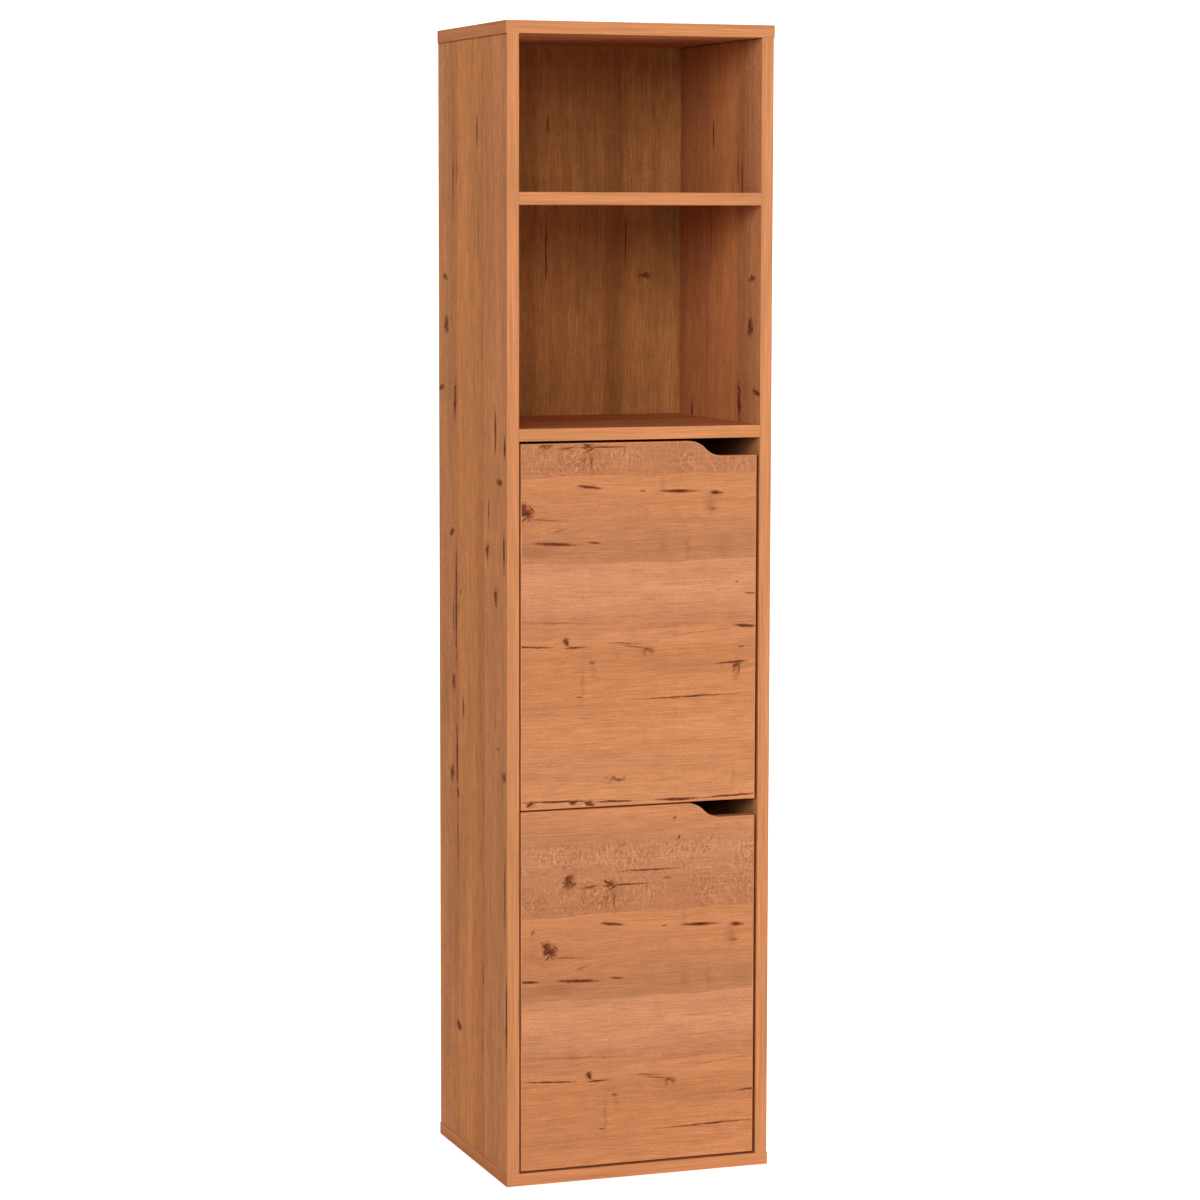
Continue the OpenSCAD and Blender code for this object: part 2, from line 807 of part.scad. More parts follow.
module upper_shelf() { color(decor) shelf_board(shelves[0]); }
module lower_shelf() { color(decor) shelf_board(shelves[1]); }
module middle_shelf() { color(decor) shelf_board(shelves[2]); }

module back_panel() {
    color(decor)
        difference() {
            box([back_inset - case_w / 2, back_in_y, back_inset],
                [case_w / 2 - back_inset, rear_y, case_h - back_inset]);
            at_nails() nail_hole();
        }
}

module top_panel_band() { color(band_colour) cap_band(top_z); }
module bottom_panel_band() { color(band_colour) cap_band(0); }

module left_side_band() {
    color(band_colour) translate([-side_mid, front_y, board_t]) band_strip(board_t, top_z - board_t);
}

module right_side_band() {
    color(band_colour) translate([side_mid, front_y, board_t]) band_strip(board_t, top_z - board_t);
}

module upper_shelf_band() { color(band_colour) shelf_band(shelves[0]); }
module lower_shelf_band() { color(band_colour) shelf_band(shelves[1]); }
module middle_shelf_band() { color(band_colour) shelf_band(shelves[2]); }

module upper_door() { color(decor) door_board(upper_door_z, upper_hinge_z); }
module upper_door_band() { color(band_colour) door_band(upper_door_z); }
module lower_door() { color(decor) door_board(lower_door_z, lower_hinge_z); }
module lower_door_band() { color(band_colour) door_band(lower_door_z); }

module upper_door_top_cup() { color(steel) hinge_cup(upper_hinge_z[1]); }
module upper_door_top_arm() { color(steel) hinge_arm(upper_hinge_z[1]); }
module upper_door_top_plate() { color(steel) hinge_plate(upper_hinge_z[1]); }
module upper_door_bottom_cup() { color(steel) hinge_cup(upper_hinge_z[0]); }
module upper_door_bottom_arm() { color(steel) hinge_arm(upper_hinge_z[0]); }
module upper_door_bottom_plate() { color(steel) hinge_plate(upper_hinge_z[0]); }
module lower_door_top_cup() { color(steel) hinge_cup(lower_hinge_z[1]); }
module lower_door_top_arm() { color(steel) hinge_arm(lower_hinge_z[1]); }
module lower_door_top_plate() { color(steel) hinge_plate(lower_hinge_z[1]); }
module lower_door_bottom_cup() { color(steel) hinge_cup(lower_hinge_z[0]); }
module lower_door_bottom_arm() { color(steel) hinge_arm(lower_hinge_z[0]); }
module lower_door_bottom_plate() { color(steel) hinge_plate(lower_hinge_z[0]); }

module upper_door_pins() { color(dark_steel) for (z = upper_hinge_z) hinge_pin(z); }
module lower_door_pins() { color(dark_steel) for (z = lower_hinge_z) hinge_pin(z); }
module upper_door_cup_screws() { color(dark_steel) at_cup_screws(upper_hinge_z) pan_screw(small_screw); }
module lower_door_cup_screws() { color(dark_steel) at_cup_screws(lower_hinge_z) pan_screw(small_screw); }
module upper_door_plate_screws() { color(dark_steel) at_plate_screws(upper_hinge_z) pan_screw(small_screw); }
module lower_door_plate_screws() { color(dark_steel) at_plate_screws(lower_hinge_z) pan_screw(small_screw); }
module upper_door_arm_screws() { color(dark_steel) at_arm_screws(upper_hinge_z) pan_screw(arm_screw); }
module lower_door_arm_screws() { color(dark_steel) at_arm_screws(lower_hinge_z) pan_screw(arm_screw); }

module upper_catch_body() { color(plastic) catch_body(upper_catch_z); }
module upper_catch_magnet() { color(dark_steel) catch_magnet(upper_catch_z); }
module upper_catch_strike() { color(steel) catch_strike(upper_catch_z); }
module lower_catch_body() { color(plastic) catch_body(lower_catch_z); }
module lower_catch_magnet() { color(dark_steel) catch_magnet(lower_catch_z); }
module lower_catch_strike() { color(steel) catch_strike(lower_catch_z); }

module catch_screws() {
    color(dark_steel)
        for (z = [upper_catch_z, lower_catch_z])
            at_ears(z) pan_screw(small_screw);
}

module upper_strike_screw() { color(dark_steel) at_strike(upper_catch_z) strike_plate_screw(); }
module lower_strike_screw() { color(dark_steel) at_strike(lower_catch_z) strike_plate_screw(); }

module top_screws() { color(dark_steel) at_top_screws() case_screw(); }
module top_screw_plugs() { color(plastic) at_top_screws() cylinder(d = plug_d, h = plug_t); }
module bottom_screws() { color(dark_steel) at_bottom_screws() case_screw(); }
module case_dowels() { color(beech) at_case_dowels() dowel(); }
module shelf_dowels() { color(beech) at_shelf_dowels() dowel(); }
module upper_shelf_cams() { color(steel) at_cams(shelves[0]) cam(); }
module lower_shelf_cams() { color(steel) at_cams(shelves[1]) cam(); }
module middle_shelf_cams() { color(steel) at_cams(shelves[2]) cam(); }
module cam_bolts() { color(dark_steel) for (shelf = shelves) at_cam_bolts(shelf) cam_bolt(); }
module back_nails() { color(dark_steel) at_nails() nail(); }

top_panel();
bottom_panel();
left_side();
right_side();
upper_shelf();
lower_shelf();
middle_shelf();
back_panel();
top_panel_band();
bottom_panel_band();
left_side_band();
right_side_band();
upper_shelf_band();
lower_shelf_band();
middle_shelf_band();
upper_door();
upper_door_band();
lower_door();
lower_door_band();
upper_door_top_cup();
upper_door_top_arm();
upper_door_top_plate();
upper_door_bottom_cup();
upper_door_bottom_arm();
upper_door_bottom_plate();
lower_door_top_cup();
lower_door_top_arm();
lower_door_top_plate();
lower_door_bottom_cup();
lower_door_bottom_arm();
lower_door_bottom_plate();
upper_door_pins();
lower_door_pins();
upper_door_cup_screws();
lower_door_cup_screws();
upper_door_plate_screws();
lower_door_plate_screws();
upper_door_arm_screws();
lower_door_arm_screws();
upper_catch_body();
upper_catch_magnet();
upper_catch_strike();
lower_catch_body();
lower_catch_magnet();
lower_catch_strike();
catch_screws();
upper_strike_screw();
lower_strike_screw();
top_screws();
top_screw_plugs();
bottom_screws();
case_dowels();
shelf_dowels();
upper_shelf_cams();
lower_shelf_cams();
middle_shelf_cams();
cam_bolts();
back_nails();
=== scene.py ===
"""Dresses the bathroom storage tower: oak decor boards, straight-grain edge bands, pressed hinges,
magnetic catches and fastenings, on a pale studio floor. Metres, +Z up, the doors face -Y."""

import collections
import math

import bpy
from mathutils import Matrix, Vector


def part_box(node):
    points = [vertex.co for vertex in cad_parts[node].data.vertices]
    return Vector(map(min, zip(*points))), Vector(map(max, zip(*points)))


bl_info = {
    "name": "Bathroom storage tower",
    "version": (1, 0, 0),
    "blender": (4, 5, 0),
    "location": "3D View > Sidebar > Tower",
    "description": "Dresses the tower's boards, bands, hinges, catches and fastenings",
    "category": "Object",
}

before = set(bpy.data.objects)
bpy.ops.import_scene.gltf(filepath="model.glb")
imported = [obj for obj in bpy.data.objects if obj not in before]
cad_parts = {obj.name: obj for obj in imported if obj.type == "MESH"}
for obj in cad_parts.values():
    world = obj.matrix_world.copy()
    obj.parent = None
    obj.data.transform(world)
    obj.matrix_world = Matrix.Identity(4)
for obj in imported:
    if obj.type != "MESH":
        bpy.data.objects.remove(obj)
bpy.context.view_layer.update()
MM = 1000.0
FAR = 1.0e6  # a scale that makes a direction count for nothing

SIDES = ("left_side", "right_side")
LEVEL_BOARDS = ("top_panel", "bottom_panel", "upper_shelf", "lower_shelf", "middle_shelf")
DOORS = ("upper_door", "lower_door")
DOOR_BANDS = ("upper_door_band", "lower_door_band")
UPRIGHT_BANDS = ("left_side_band", "right_side_band")
LEVEL_BANDS = tuple(name + "_band" for name in LEVEL_BOARDS)
HINGE_PARTS = tuple(
    f"{door}_{end}_{part}"
    for door in DOORS
    for end in ("top", "bottom")
    for part in ("cup", "arm", "plate")
)
STRIKES = ("upper_catch_strike", "lower_catch_strike")
CATCH_BODIES = ("upper_catch_body", "lower_catch_body")
MAGNETS = ("upper_catch_magnet", "lower_catch_magnet")
SCREWS = (
    "upper_door_pins", "lower_door_pins", "upper_door_cup_screws", "lower_door_cup_screws",
    "upper_door_plate_screws", "lower_door_plate_screws", "upper_door_arm_screws",
    "lower_door_arm_screws", "catch_screws", "upper_strike_screw", "lower_strike_screw",
    "top_screws", "bottom_screws", "cam_bolts", "back_nails",
)
CAMS = ("upper_shelf_cams", "lower_shelf_cams", "middle_shelf_cams")
DOWELS = ("case_dowels", "shelf_dowels")

# The printed decor of the doors, in millimetres: along the grain from the lower door's hinge
# edge, and up from its lower edge. The upper door is cut from the same print, moved by
# UPPER_CUT. Each dark line is (along, up, half length, half width, tilt in degrees, depth).
UPPER_CUT = (30.0, -90.0)
DOOR_CRACKS = (
    (166, 361.8, 54, 1.1, 0.0, 0.75),
    (88, 344.8, 14, 1.4, 6.0, 0.75),
    (134, 345.2, 38, 1.2, 0.0, 0.75),
    (188, 350, 12, 1.6, 2.0, 0.45),
    (117, 297.6, 18, 2.0, -5.5, 0.85),
    (184, 291.8, 5, 1.0, 0.0, 0.7),
    (231, 290.4, 27, 2.3, -1.8, 0.9),
    (280, 287.6, 9, 2.8, -2.0, 0.95),
    (276, 268, 14, 3.0, -8.0, 0.35),
    (74, 230.2, 30, 2.7, -3.6, 0.9),
    (123, 230.2, 11, 1.5, -2.5, 0.75),
    (10, 232.5, 14, 2.2, -4.0, 0.85),
    (78, 246, 14, 1.5, 14.0, 0.45),
    (60, 259, 34, 1.3, -4.0, 0.45),
    (38, 107.5, 42, 1.6, -3.6, 0.7),
    (96, 104.2, 18, 1.3, 1.0, 0.7),
    (165, 107.5, 30, 1.3, -4.5, 0.45),
    (175, 103, 26, 1.5, -9.0, 0.45),
    (245, 39.8, 78, 1.0, 0.7, 0.85),
    (318, 124, 16, 2.5, -6.0, 0.85),
    (302, 79.5, 24, 1.8, 2.5, 0.85),
    (314, 98.6, 8, 1.5, 0.0, 0.6),
    (326, 163.6, 10, 1.2, -2.0, 0.7),
    (104, 44.6, 6, 1.2, 0.0, 0.6),
    (120, 85.5, 4, 1.8, 0.0, 0.7),
    (75, -81.5, 50, 1.5, -1.5, 0.9),
    (150, -84.5, 30, 1.6, -1.5, 0.85),
    (230, -86, 34, 1.8, 0.0, 0.9),
    (300, -85, 40, 1.5, 1.6, 0.85),
    (60, -38, 30, 1.0, 0.0, 0.3),
    (70, 135, 110, 2.2, -3.0, 0.3),
    (210, 126, 120, 2.0, 1.6, 0.26),
    (262, 118, 60, 1.6, 5.0, 0.3),
    (140, 25, 90, 1.2, 0.0, 0.25),
    (31, 274, 9, 1.5, -55.0, 0.95),
    (38, 268, 9, 1.6, -60.0, 0.95),
    (35, 261, 6, 1.3, 50.0, 0.85),
    (43, 273, 7, 1.3, -50.0, 0.8),
    (57, 350, 8, 1.4, 55.0, 0.85),
    (64, 356, 8, 1.5, 60.0, 0.9),
    (66, 348, 6, 1.3, 50.0, 0.75),
    (111, 349, 7, 1.6, -35.0, 0.95),
    (118, 343, 8, 1.5, 30.0, 0.9),
    (119, 327, 14, 1.3, -82.0, 0.55),
    (110, 328, 13, 1.2, 84.0, 0.45),
    (104, 325, 12, 1.1, 78.0, 0.35),
    (304, 72, 7, 1.4, 60.0, 0.8),
    (311, 70, 7, 1.3, 75.0, 0.7),
    (87, 113, 5, 1.3, -60.0, 0.8),
    (188, 98, 5, 1.1, 60.0, 0.5),
    (193, 97, 5, 1.1, 60.0, 0.5),
    (198, 97, 5, 1.1, 60.0, 0.5),
)
# Knots: (along, up, half length, half width, tilt, depth)
DOOR_KNOTS = (
    (61, 353, 9.5, 9.0, 20.0, 0.8),
    (114, 346.5, 8.0, 4.5, 10.0, 0.85),
    (36, 270, 8.0, 11.5, 35.0, 0.95),
    (87, 111.5, 4.6, 6.8, 25.0, 0.7),
    (192, 97, 10.0, 7.0, 0.0, 0.45),
    (151, -57, 13.0, 5.0, 0.0, 0.55),
    (308, 76.5, 7.0, 6.0, 20.0, 0.85),
    (203, 400, 2.2, 2.2, 0.0, 0.6),
    (197, 423, 2.2, 2.4, 0.0, 0.6),
    (15, 292.6, 2.2, 3.0, 0.0, 0.55),
    (308, 179, 2.2, 1.5, 0.0, 0.6),
    (118, -86, 7.0, 4.0, 0.0, 0.9),
    (42, -83.5, 6.0, 3.4, 0.0, 0.85),
    (98, -84, 6.0, 3.0, 0.0, 0.8),
)
# Figure that runs across the grain, such as branch shadows: same numbers, softer edges
DOOR_SHADES = (
    (120, 330, 5, 20, 0.0, 0.5),
    (110, 326, 4, 16, 0.0, 0.35),
    (80, 330, 5, 17, 4.0, 0.3),
    (126, 340, 9, 9, 0.0, 0.35),
    (272, 275, 7, 16, 0.0, 0.4),
    (108, 60, 2.5, 22, 0.0, 0.35),
    (122, 76, 3.0, 10, 0.0, 0.3),
    (307, 66, 4, 10, 0.0, 0.45),
    (210, 300, 5, 12, 0.0, 0.3),
    (303, -60, 3, 12, 0.0, 0.3),
    (210, 226, 7, 13, 0.0, 0.3),
    (243, 222, 4, 15, 0.0, 0.3),
    (290, 224, 16, 12, 0.0, 0.3),
    (50, 222, 40, 8, -2.0, 0.35),
)
# The tone of the print across its planks: (up, hex colour)
DOOR_TONES = (
    (-90, "#D58F61"), (50, "#CF8759"), (96, "#CC8557"), (116, "#D08A5D"), (137, "#C6825A"),
    (146, "#D28D63"), (180, "#D79268"), (206.6, "#D28E64"), (207.8, "#BF8059"), (262, "#CA8458"),
    (310, "#CF885A"), (311, "#C27E55"), (380, "#C98860"), (440, "#CF895D"),
)

# The print of the sides: along the grain is the height, across is measured from the left
# side's rear edge and from the right side's front edge, which are the same edge of the print
SIDE_CRACKS = (
    (1273, 160, 22, 3.4, 0.0, 0.85),
    (1218, 62, 46, 3.8, 0.0, 0.6),
    (1232, 76, 34, 3.2, 0.0, 0.5),
    (1150, 165, 60, 2.6, 0.0, 0.45),
    (914, 231, 30, 4.2, 0.0, 0.95),
    (896, 267, 14, 4.0, 0.0, 0.95),
    (817, 204, 27, 3.6, 0.0, 0.6),
    (688, 71.5, 92, 4.4, 0.5, 0.9),
    (672, 60, 40, 3.0, 0.0, 0.6),
    (500, 74, 56, 4.6, -0.4, 0.85),
    (390, 77, 60, 3.2, 0.0, 0.6),
    (668, 197, 76, 2.6, 0.0, 0.4),
    (565, 101, 16, 3.8, 0.0, 0.75),
    (772, 264, 30, 4.4, 0.0, 0.85),
    (240, 181, 24, 2.8, 0.0, 0.55),
    (205, 273, 60, 4.6, 0.0, 0.9),
    (360, 266, 80, 6.0, 0.0, 0.5),
    (150, 178, 50, 2.4, 0.0, 0.4),
    (1180, 140, 60, 2.0, 0.0, 0.3),
    (330, 210, 90, 2.2, 0.0, 0.3),
    (980, 120, 80, 2.0, 0.0, 0.25),
    (880, 170, 120, 2.2, 0.0, 0.3),
)
SIDE_KNOTS = (
    (1096, 28, 4.5, 12, 8.0, 0.8),
    (1037, 33, 11, 9.0, 0.0, 1.0),
    (958, 11, 4.0, 11, -10.0, 0.95),
    (945, 68, 26, 6.0, 4.0, 1.0),
    (780, 55, 5.0, 10, -20.0, 0.95),
    (768, 199, 10, 6.5, 0.0, 0.95),
    (854, 247, 4.5, 12, 4.0, 0.95),
    (715, 232, 12, 6.5, -15.0, 0.9),
    (592, 62, 12, 7.5, 0.0, 0.8),
    (475, 54, 12, 9.0, 20.0, 0.85),
    (565, 101, 15, 7.0, 0.0, 0.45),
    (500, 264, 6.0, 8.0, 0.0, 0.85),
    (158, 80, 6.5, 9.0, 0.0, 1.0),
    (531, 240, 2.5, 13, 5.0, 0.45),
    (708, 91, 4.0, 5.0, 0.0, 0.6),
    (455, 76, 8.0, 4.5, 0.0, 0.85),
)
SIDE_SHADES = (
    (960, 30, 16, 50, 0.0, 0.22),
    (1185, 30, 20, 45, 0.0, 0.2),
    (600, 35, 40, 36, 0.0, 0.3),
    (560, 22, 30, 34, 0.0, 0.25),
    (430, 36, 40, 30, 0.0, 0.2),
    (300, 40, 90, 22, 0.0, 0.25),
    (830, 235, 34, 20, 0.0, 0.2),
    (500, 185, 260, 9, 0.0, 0.25),
    (220, 178, 120, 10, 0.0, 0.3),
    (1040, 178, 130, 9, 0.0, 0.22),
    (720, 90, 60, 14, 0.0, 0.16),
)
# Painted shade: these tones are about a tenth darker than the doors', for the lesser light that
# falls on the sides
SIDE_SHADED_TONES = (
    (0, "#C18052"), (40, "#BB7C50"), (66, "#B8764B"), (79, "#B97A4D"), (81, "#C7814F"),
    (130, "#C47E4C"), (165, "#BC7A4A"), (184, "#B7744A"), (187, "#C47F50"), (225, "#BE7D50"),
    (262, "#BB7B50"), (280, "#C18052"),
)

# The back panel's print: along is the height, across runs from the left
BACK_CRACKS = (
    (1284, -25, 12, 1.3, 0.0, 0.8),
    (1131, -27, 50, 1.2, 0.6, 0.85),
    (1140, 79.5, 36, 1.2, 0.0, 0.75),
    (700, -70, 60, 1.6, 0.0, 0.6),
    (420, 40, 80, 1.6, 0.0, 0.6),
    (1110, 60, 60, 1.2, 0.0, 0.3),
)
BACK_KNOTS = (
    (1096, 106, 5, 11, 0.0, 0.6),
    (640, 20, 10, 7, 0.0, 0.8),
    (260, -60, 12, 8, 0.0, 0.8),
    (880, -110, 9, 6, 0.0, 0.7),
)
BACK_SHADES = (
    (1000, 60, 180, 12, 0.0, 0.15),
    (600, -30, 260, 14, 0.0, 0.12),
    (250, 90, 200, 10, 0.0, 0.2),
)
BACK_TONES = (
    (-170, "#C18852"), (-90, "#C78A52"), (-40, "#BD824E"), (-38, "#C88B54"), (30, "#C18750"),
    (74, "#B87E4D"), (76, "#C48951"), (170, "#BE8551"),
)

# Shelves, top and bottom panel: along is left to right, across runs back
LEVEL_CRACKS = (
    (-60, 20, 60, 1.4, 0.0, 0.6),
    (90, 85, 40, 1.6, 0.0, 0.6),
    (40, -70, 50, 1.1, 0.0, 0.45),
)
LEVEL_KNOTS = ((-95, 60, 10, 8, 0.0, 0.75), (110, -20, 7, 5, 0.0, 0.7))
LEVEL_SHADES = ((20, 30, 120, 9, 0.0, 0.3), (-90, -60, 90, 8, 0.0, 0.25))
# The print's plank tones, kept a little darker than the doors' as painted shade for the shadow that
# falls on the shelf tops
LEVEL_PART_SHADED_TONES = (
    (-140, "#C67F51"), (-70, "#C98254"), (-21, "#BF794F"), (-19, "#CA8455"), (40, "#C57E52"),
    (93, "#BC784E"), (95, "#C88153"), (140, "#C47E52"),
)

# What one print is made of: its tables, the planks that show ray flecks, and how strongly its
# fibres and its flecks are drawn
Print = collections.namedtuple("Print", "cracks knots shades tones rays fibre fleck")
DOOR_PRINT = Print(DOOR_CRACKS, DOOR_KNOTS, DOOR_SHADES, DOOR_TONES, (308, 404), 1.0, 1.0)
SIDE_PRINT = Print(SIDE_CRACKS, SIDE_KNOTS, SIDE_SHADES, SIDE_SHADED_TONES, (-30, 66), 1.4, 0.35)
BACK_PRINT = Print(BACK_CRACKS, BACK_KNOTS, BACK_SHADES, BACK_TONES, (-38, 74), 1.6, 0.25)
LEVEL_PRINT = Print(LEVEL_CRACKS, LEVEL_KNOTS, LEVEL_SHADES, LEVEL_PART_SHADED_TONES, (-20, 94), 1.2, 0.6)

# Fibres of the print: (length, width, detail, contrast), the finest drawn 0.9 mm wide because
# real ones are too fine to show. Of the bands: (length, width, contrast)
FIBRES = (
    (420, 38, 3.0, 0.08), (150, 8, 2.0, 0.05), (100, 2.2, 2.0, 0.08), (30, 0.9, 2.0, 0.13),
    (5, 0.9, 1.0, 0.08), (24, 15, 2.0, 0.05),
)
BAND_FIBRES = ((260, 5.0, 0.10), (90, 1.6, 0.15), (40, 0.8, 0.08))
SPREAD = {1: 0.3, 2: 0.7}  # the range of a noise that holds nearly all its values
FACING = 0.7  # how much of its normal a surface has to turn to an axis to count as facing it

# Colours of the figure in the print, and of raw chipboard from its glue to its palest chips
FLECK_BROWN, FLECK_PALE, SHADE_BROWN = "#A5683F", "#E8B18C", "#8F5436"
CRACK_STOPS = ((0.1, "#A9673F"), (0.4, "#874B30"), (0.8, "#63321F"))
CHIP_STOPS = ((0.0, "#7E6144"), (0.4, "#A88660"), (0.75, "#C4A47C"), (1.0, "#D9BE98"))
CHIP_MM = (3.2, 3.2, 1.1)
# Painted shade: a dark line at the top of each side, where the top panel's shadow falls on it
JOINT_SHADE_BROWN, JOINT_MM = "#5E3117", 2.5  # the dark line where a side meets the top panel
OAK_GLOSS = 0.02  # specular level: the white room would veil the colour of anything glossier

# The floor's own grey, and its glow: from 0.5 to 2.4 m off the tower it rises from 0.76 to white
FLOOR_GREY, FLOOR_GLOW = "#E6E6E6", {1: 0.5, 2: 2.4, 3: 0.76, 4: 1.0}
AIM_HEIGHT = 0.85
# Soft boxes that point at that height: (name, degrees to the right of the front, degrees up,
# distance, size). The large three stand far off and raised, and leave the bays' tops dim. The one
# on the right evens the fronts, and the one behind reaches only the back and the top
SOFT_BOXES = (
    ("front", -17, 18.7, 10.0, 4.0),
    ("near_left", -50, 15, 10.0, 4.0),
    ("far_left", -85, 5, 10.0, 4.0),
    ("right", 52, -5, 4.6, 1.4),
    ("rear", 165, 42, 3.2, 1.4),
)


def linear(hex_colour):
    """An sRGB hex colour as linear red, green, blue and alpha."""
    parts = [int(hex_colour[i : i + 2], 16) / 255 for i in (1, 3, 5)]
    return [c / 12.92 if c <= 0.04045 else ((c + 0.055) / 1.055) ** 2.4 for c in parts] + [1.0]


def add(tree, kind, inputs=None, **settings):
    """Adds a node, with its settings, and its inputs as values or as the sockets to link.

    Inputs go by name or by number: a Map Range has its value at 0, the old range at 1 and 2 and
    the new one at 3 and 4, and a Mix of colours has the lower one at 6 and the upper one at 7.
    """
    made = tree.nodes.new(kind)
    for name, value in settings.items():
        setattr(made, name, value)
    for name, value in (inputs or {}).items():
        if isinstance(value, bpy.types.NodeSocket):
            tree.links.new(value, made.inputs[name])
        else:
            made.inputs[name].default_value = value
    return made


def new_material(name):
    """An empty node material and its tree."""
    material = bpy.data.materials.new(name)
    material.use_nodes = True
    material.node_tree.nodes.clear()
    return material, material.node_tree


def fill_ramp(ramp, stops):
    """Sets a colour ramp's stops from (position, hex colour) pairs in rising order."""
    while len(ramp.elements) > 1:
        ramp.elements.remove(ramp.elements[-1])
    ramp.elements[0].position = stops[0][0]
    ramp.elements[0].color = linear(stops[0][1])
    for position, colour in stops[1:]:
        ramp.elements.new(position).color = linear(colour)


def give(names, material):
    """Puts one material on CAD nodes."""
    for name in names:
        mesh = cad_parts[name].data
        mesh.materials.clear()
        mesh.materials.append(material)


def cut(axes, shift, middle=None):
    """A way to reach one board's print, from what part of it the board was cut.

    The axes of the row run along the grain, across it and through the board, in that order. The
    shift is in millimetres, and a middle counts the second axis the other way from there.
    """

    def along_board(tree, vector):
        split = add(tree, "ShaderNodeSeparateXYZ", {0: vector})
        turned = {i: split.outputs[axis] for i, axis in enumerate(axes)}
        return add(tree, "ShaderNodeCombineXYZ", turned).outputs[0]

    def place_and_direction(tree):
        ends = add(tree, "ShaderNodeTexCoord").outputs
        place = add(
            tree,
            "ShaderNodeMapping",
            {"Vector": along_board(tree, ends["Object"]), "Location": shift, "Scale": (MM, MM, MM)},
        ).outputs[0]
        if middle is not None:
            place = add(
                tree,
                "ShaderNodeMapping",
                {"Vector": place, "Location": (0, middle, 0), "Scale": (1, -1, 1)},
            ).outputs[0]
        return place, along_board(tree, ends["Normal"])

    return place_and_direction


def pattern(tree, place, length, width, detail=2.0, shift=0.0, distortion=0.0):
    """Noise whose grains are about as long and wide as given, in millimetres."""
    placed = add(
        tree,
        "ShaderNodeMapping",
        {
            "Vector": place,
            "Location": (shift, shift * 0.7, 0),
            "Scale": (1 / length, 1 / width, 0),
        },
    )
    return add(
        tree,
        "ShaderNodeTexNoise",
        {"Vector": placed.outputs[0], "Scale": 1.0, "Detail": detail, "Distortion": distortion},
    )


def moved(tree, place, noise, along, across):
    """A place pushed about by a coloured noise, up to half the given millimetres."""
    push = add(
        tree,
        "ShaderNodeVectorMath",
        {0: noise.outputs["Color"], 1: (0.5, 0.5, 0.5)},
        operation="SUBTRACT",
    )
    push = add(
        tree,
        "ShaderNodeVectorMath",
        {0: push.outputs[0], 1: (along, across, 0)},
        operation="MULTIPLY",
    )
    return add(
        tree, "ShaderNodeVectorMath", {0: place, 1: push.outputs[0]}, operation="ADD"
    ).outputs[0]


def product(tree, *values):
    """Values multiplied together."""
    made = values[0]
    for value in values[1:]:
        made = add(tree, "ShaderNodeMath", {0: made, 1: value}, operation="MULTIPLY").outputs[0]
    return made


def marks(tree, place, table, grow):
    """How deep each point lies in a table of drawn marks, from 0 outside them to 1.

    The depth so far rides along as the third coordinate. So the marks make one chain, and the
    renderer holds one of them at a time: side by side, this many are more than it can hold.
    """
    carried = add(
        tree, "ShaderNodeVectorMath", {0: place, 1: (1, 1, 0)}, operation="MULTIPLY"
    ).outputs[0]
    for along, up, half_length, half_width, tilt, depth in table:
        placed = add(
            tree,
            "ShaderNodeMapping",
            {
                "Vector": carried,
                "Location": (along, up, 0),
                "Rotation": (0, 0, math.radians(tilt)),
                "Scale": (half_length * grow, half_width * grow, FAR),
            },
            vector_type="TEXTURE",
        )
        away = add(tree, "ShaderNodeVectorMath", {0: placed.outputs[0]}, operation="LENGTH")
        deep = add(
            tree, "ShaderNodeMapRange", {0: away.outputs["Value"], 1: 0.0, 2: 1.0, 3: depth, 4: 0.0}
        )
        deep = add(tree, "ShaderNodeCombineXYZ", {0: -FAR, 1: -FAR, 2: deep.outputs[0]})
        carried = add(
            tree, "ShaderNodeVectorMath", {0: carried, 1: deep.outputs[0]}, operation="MAXIMUM"
        ).outputs[0]
    return add(tree, "ShaderNodeSeparateXYZ", {0: carried}).outputs[2]


def flowing(tree, place, knots):
    """A place among fibres that part round each knot, as they do in a trunk."""
    for along, up, half_length, half_width, _, depth in knots:
        half_flow, reach = half_length * 5, half_width * 3.4
        placed = add(
            tree,
            "ShaderNodeMapping",
            {"Vector": place, "Location": (along, up, 0), "Scale": (half_flow, reach, FAR)},
            vector_type="TEXTURE",
        ).outputs[0]
        away = add(tree, "ShaderNodeVectorMath", {0: placed}, operation="LENGTH")
        near = add(
            tree,
            "ShaderNodeMapRange",
            {0: away.outputs["Value"], 1: 0.0, 2: 1.0, 3: -0.75 * depth, 4: 0.0},
            interpolation_type="SMOOTHSTEP",
        ).outputs[0]
        push = add(
            tree, "ShaderNodeVectorMath", {0: placed, 1: (0, reach, 0)}, operation="MULTIPLY"
        ).outputs[0]
        push = add(
            tree, "ShaderNodeVectorMath", {0: push, "Scale": near}, operation="SCALE"
        ).outputs[0]
        place = add(tree, "ShaderNodeVectorMath", {0: place, 1: push}, operation="ADD").outputs[0]
    return place


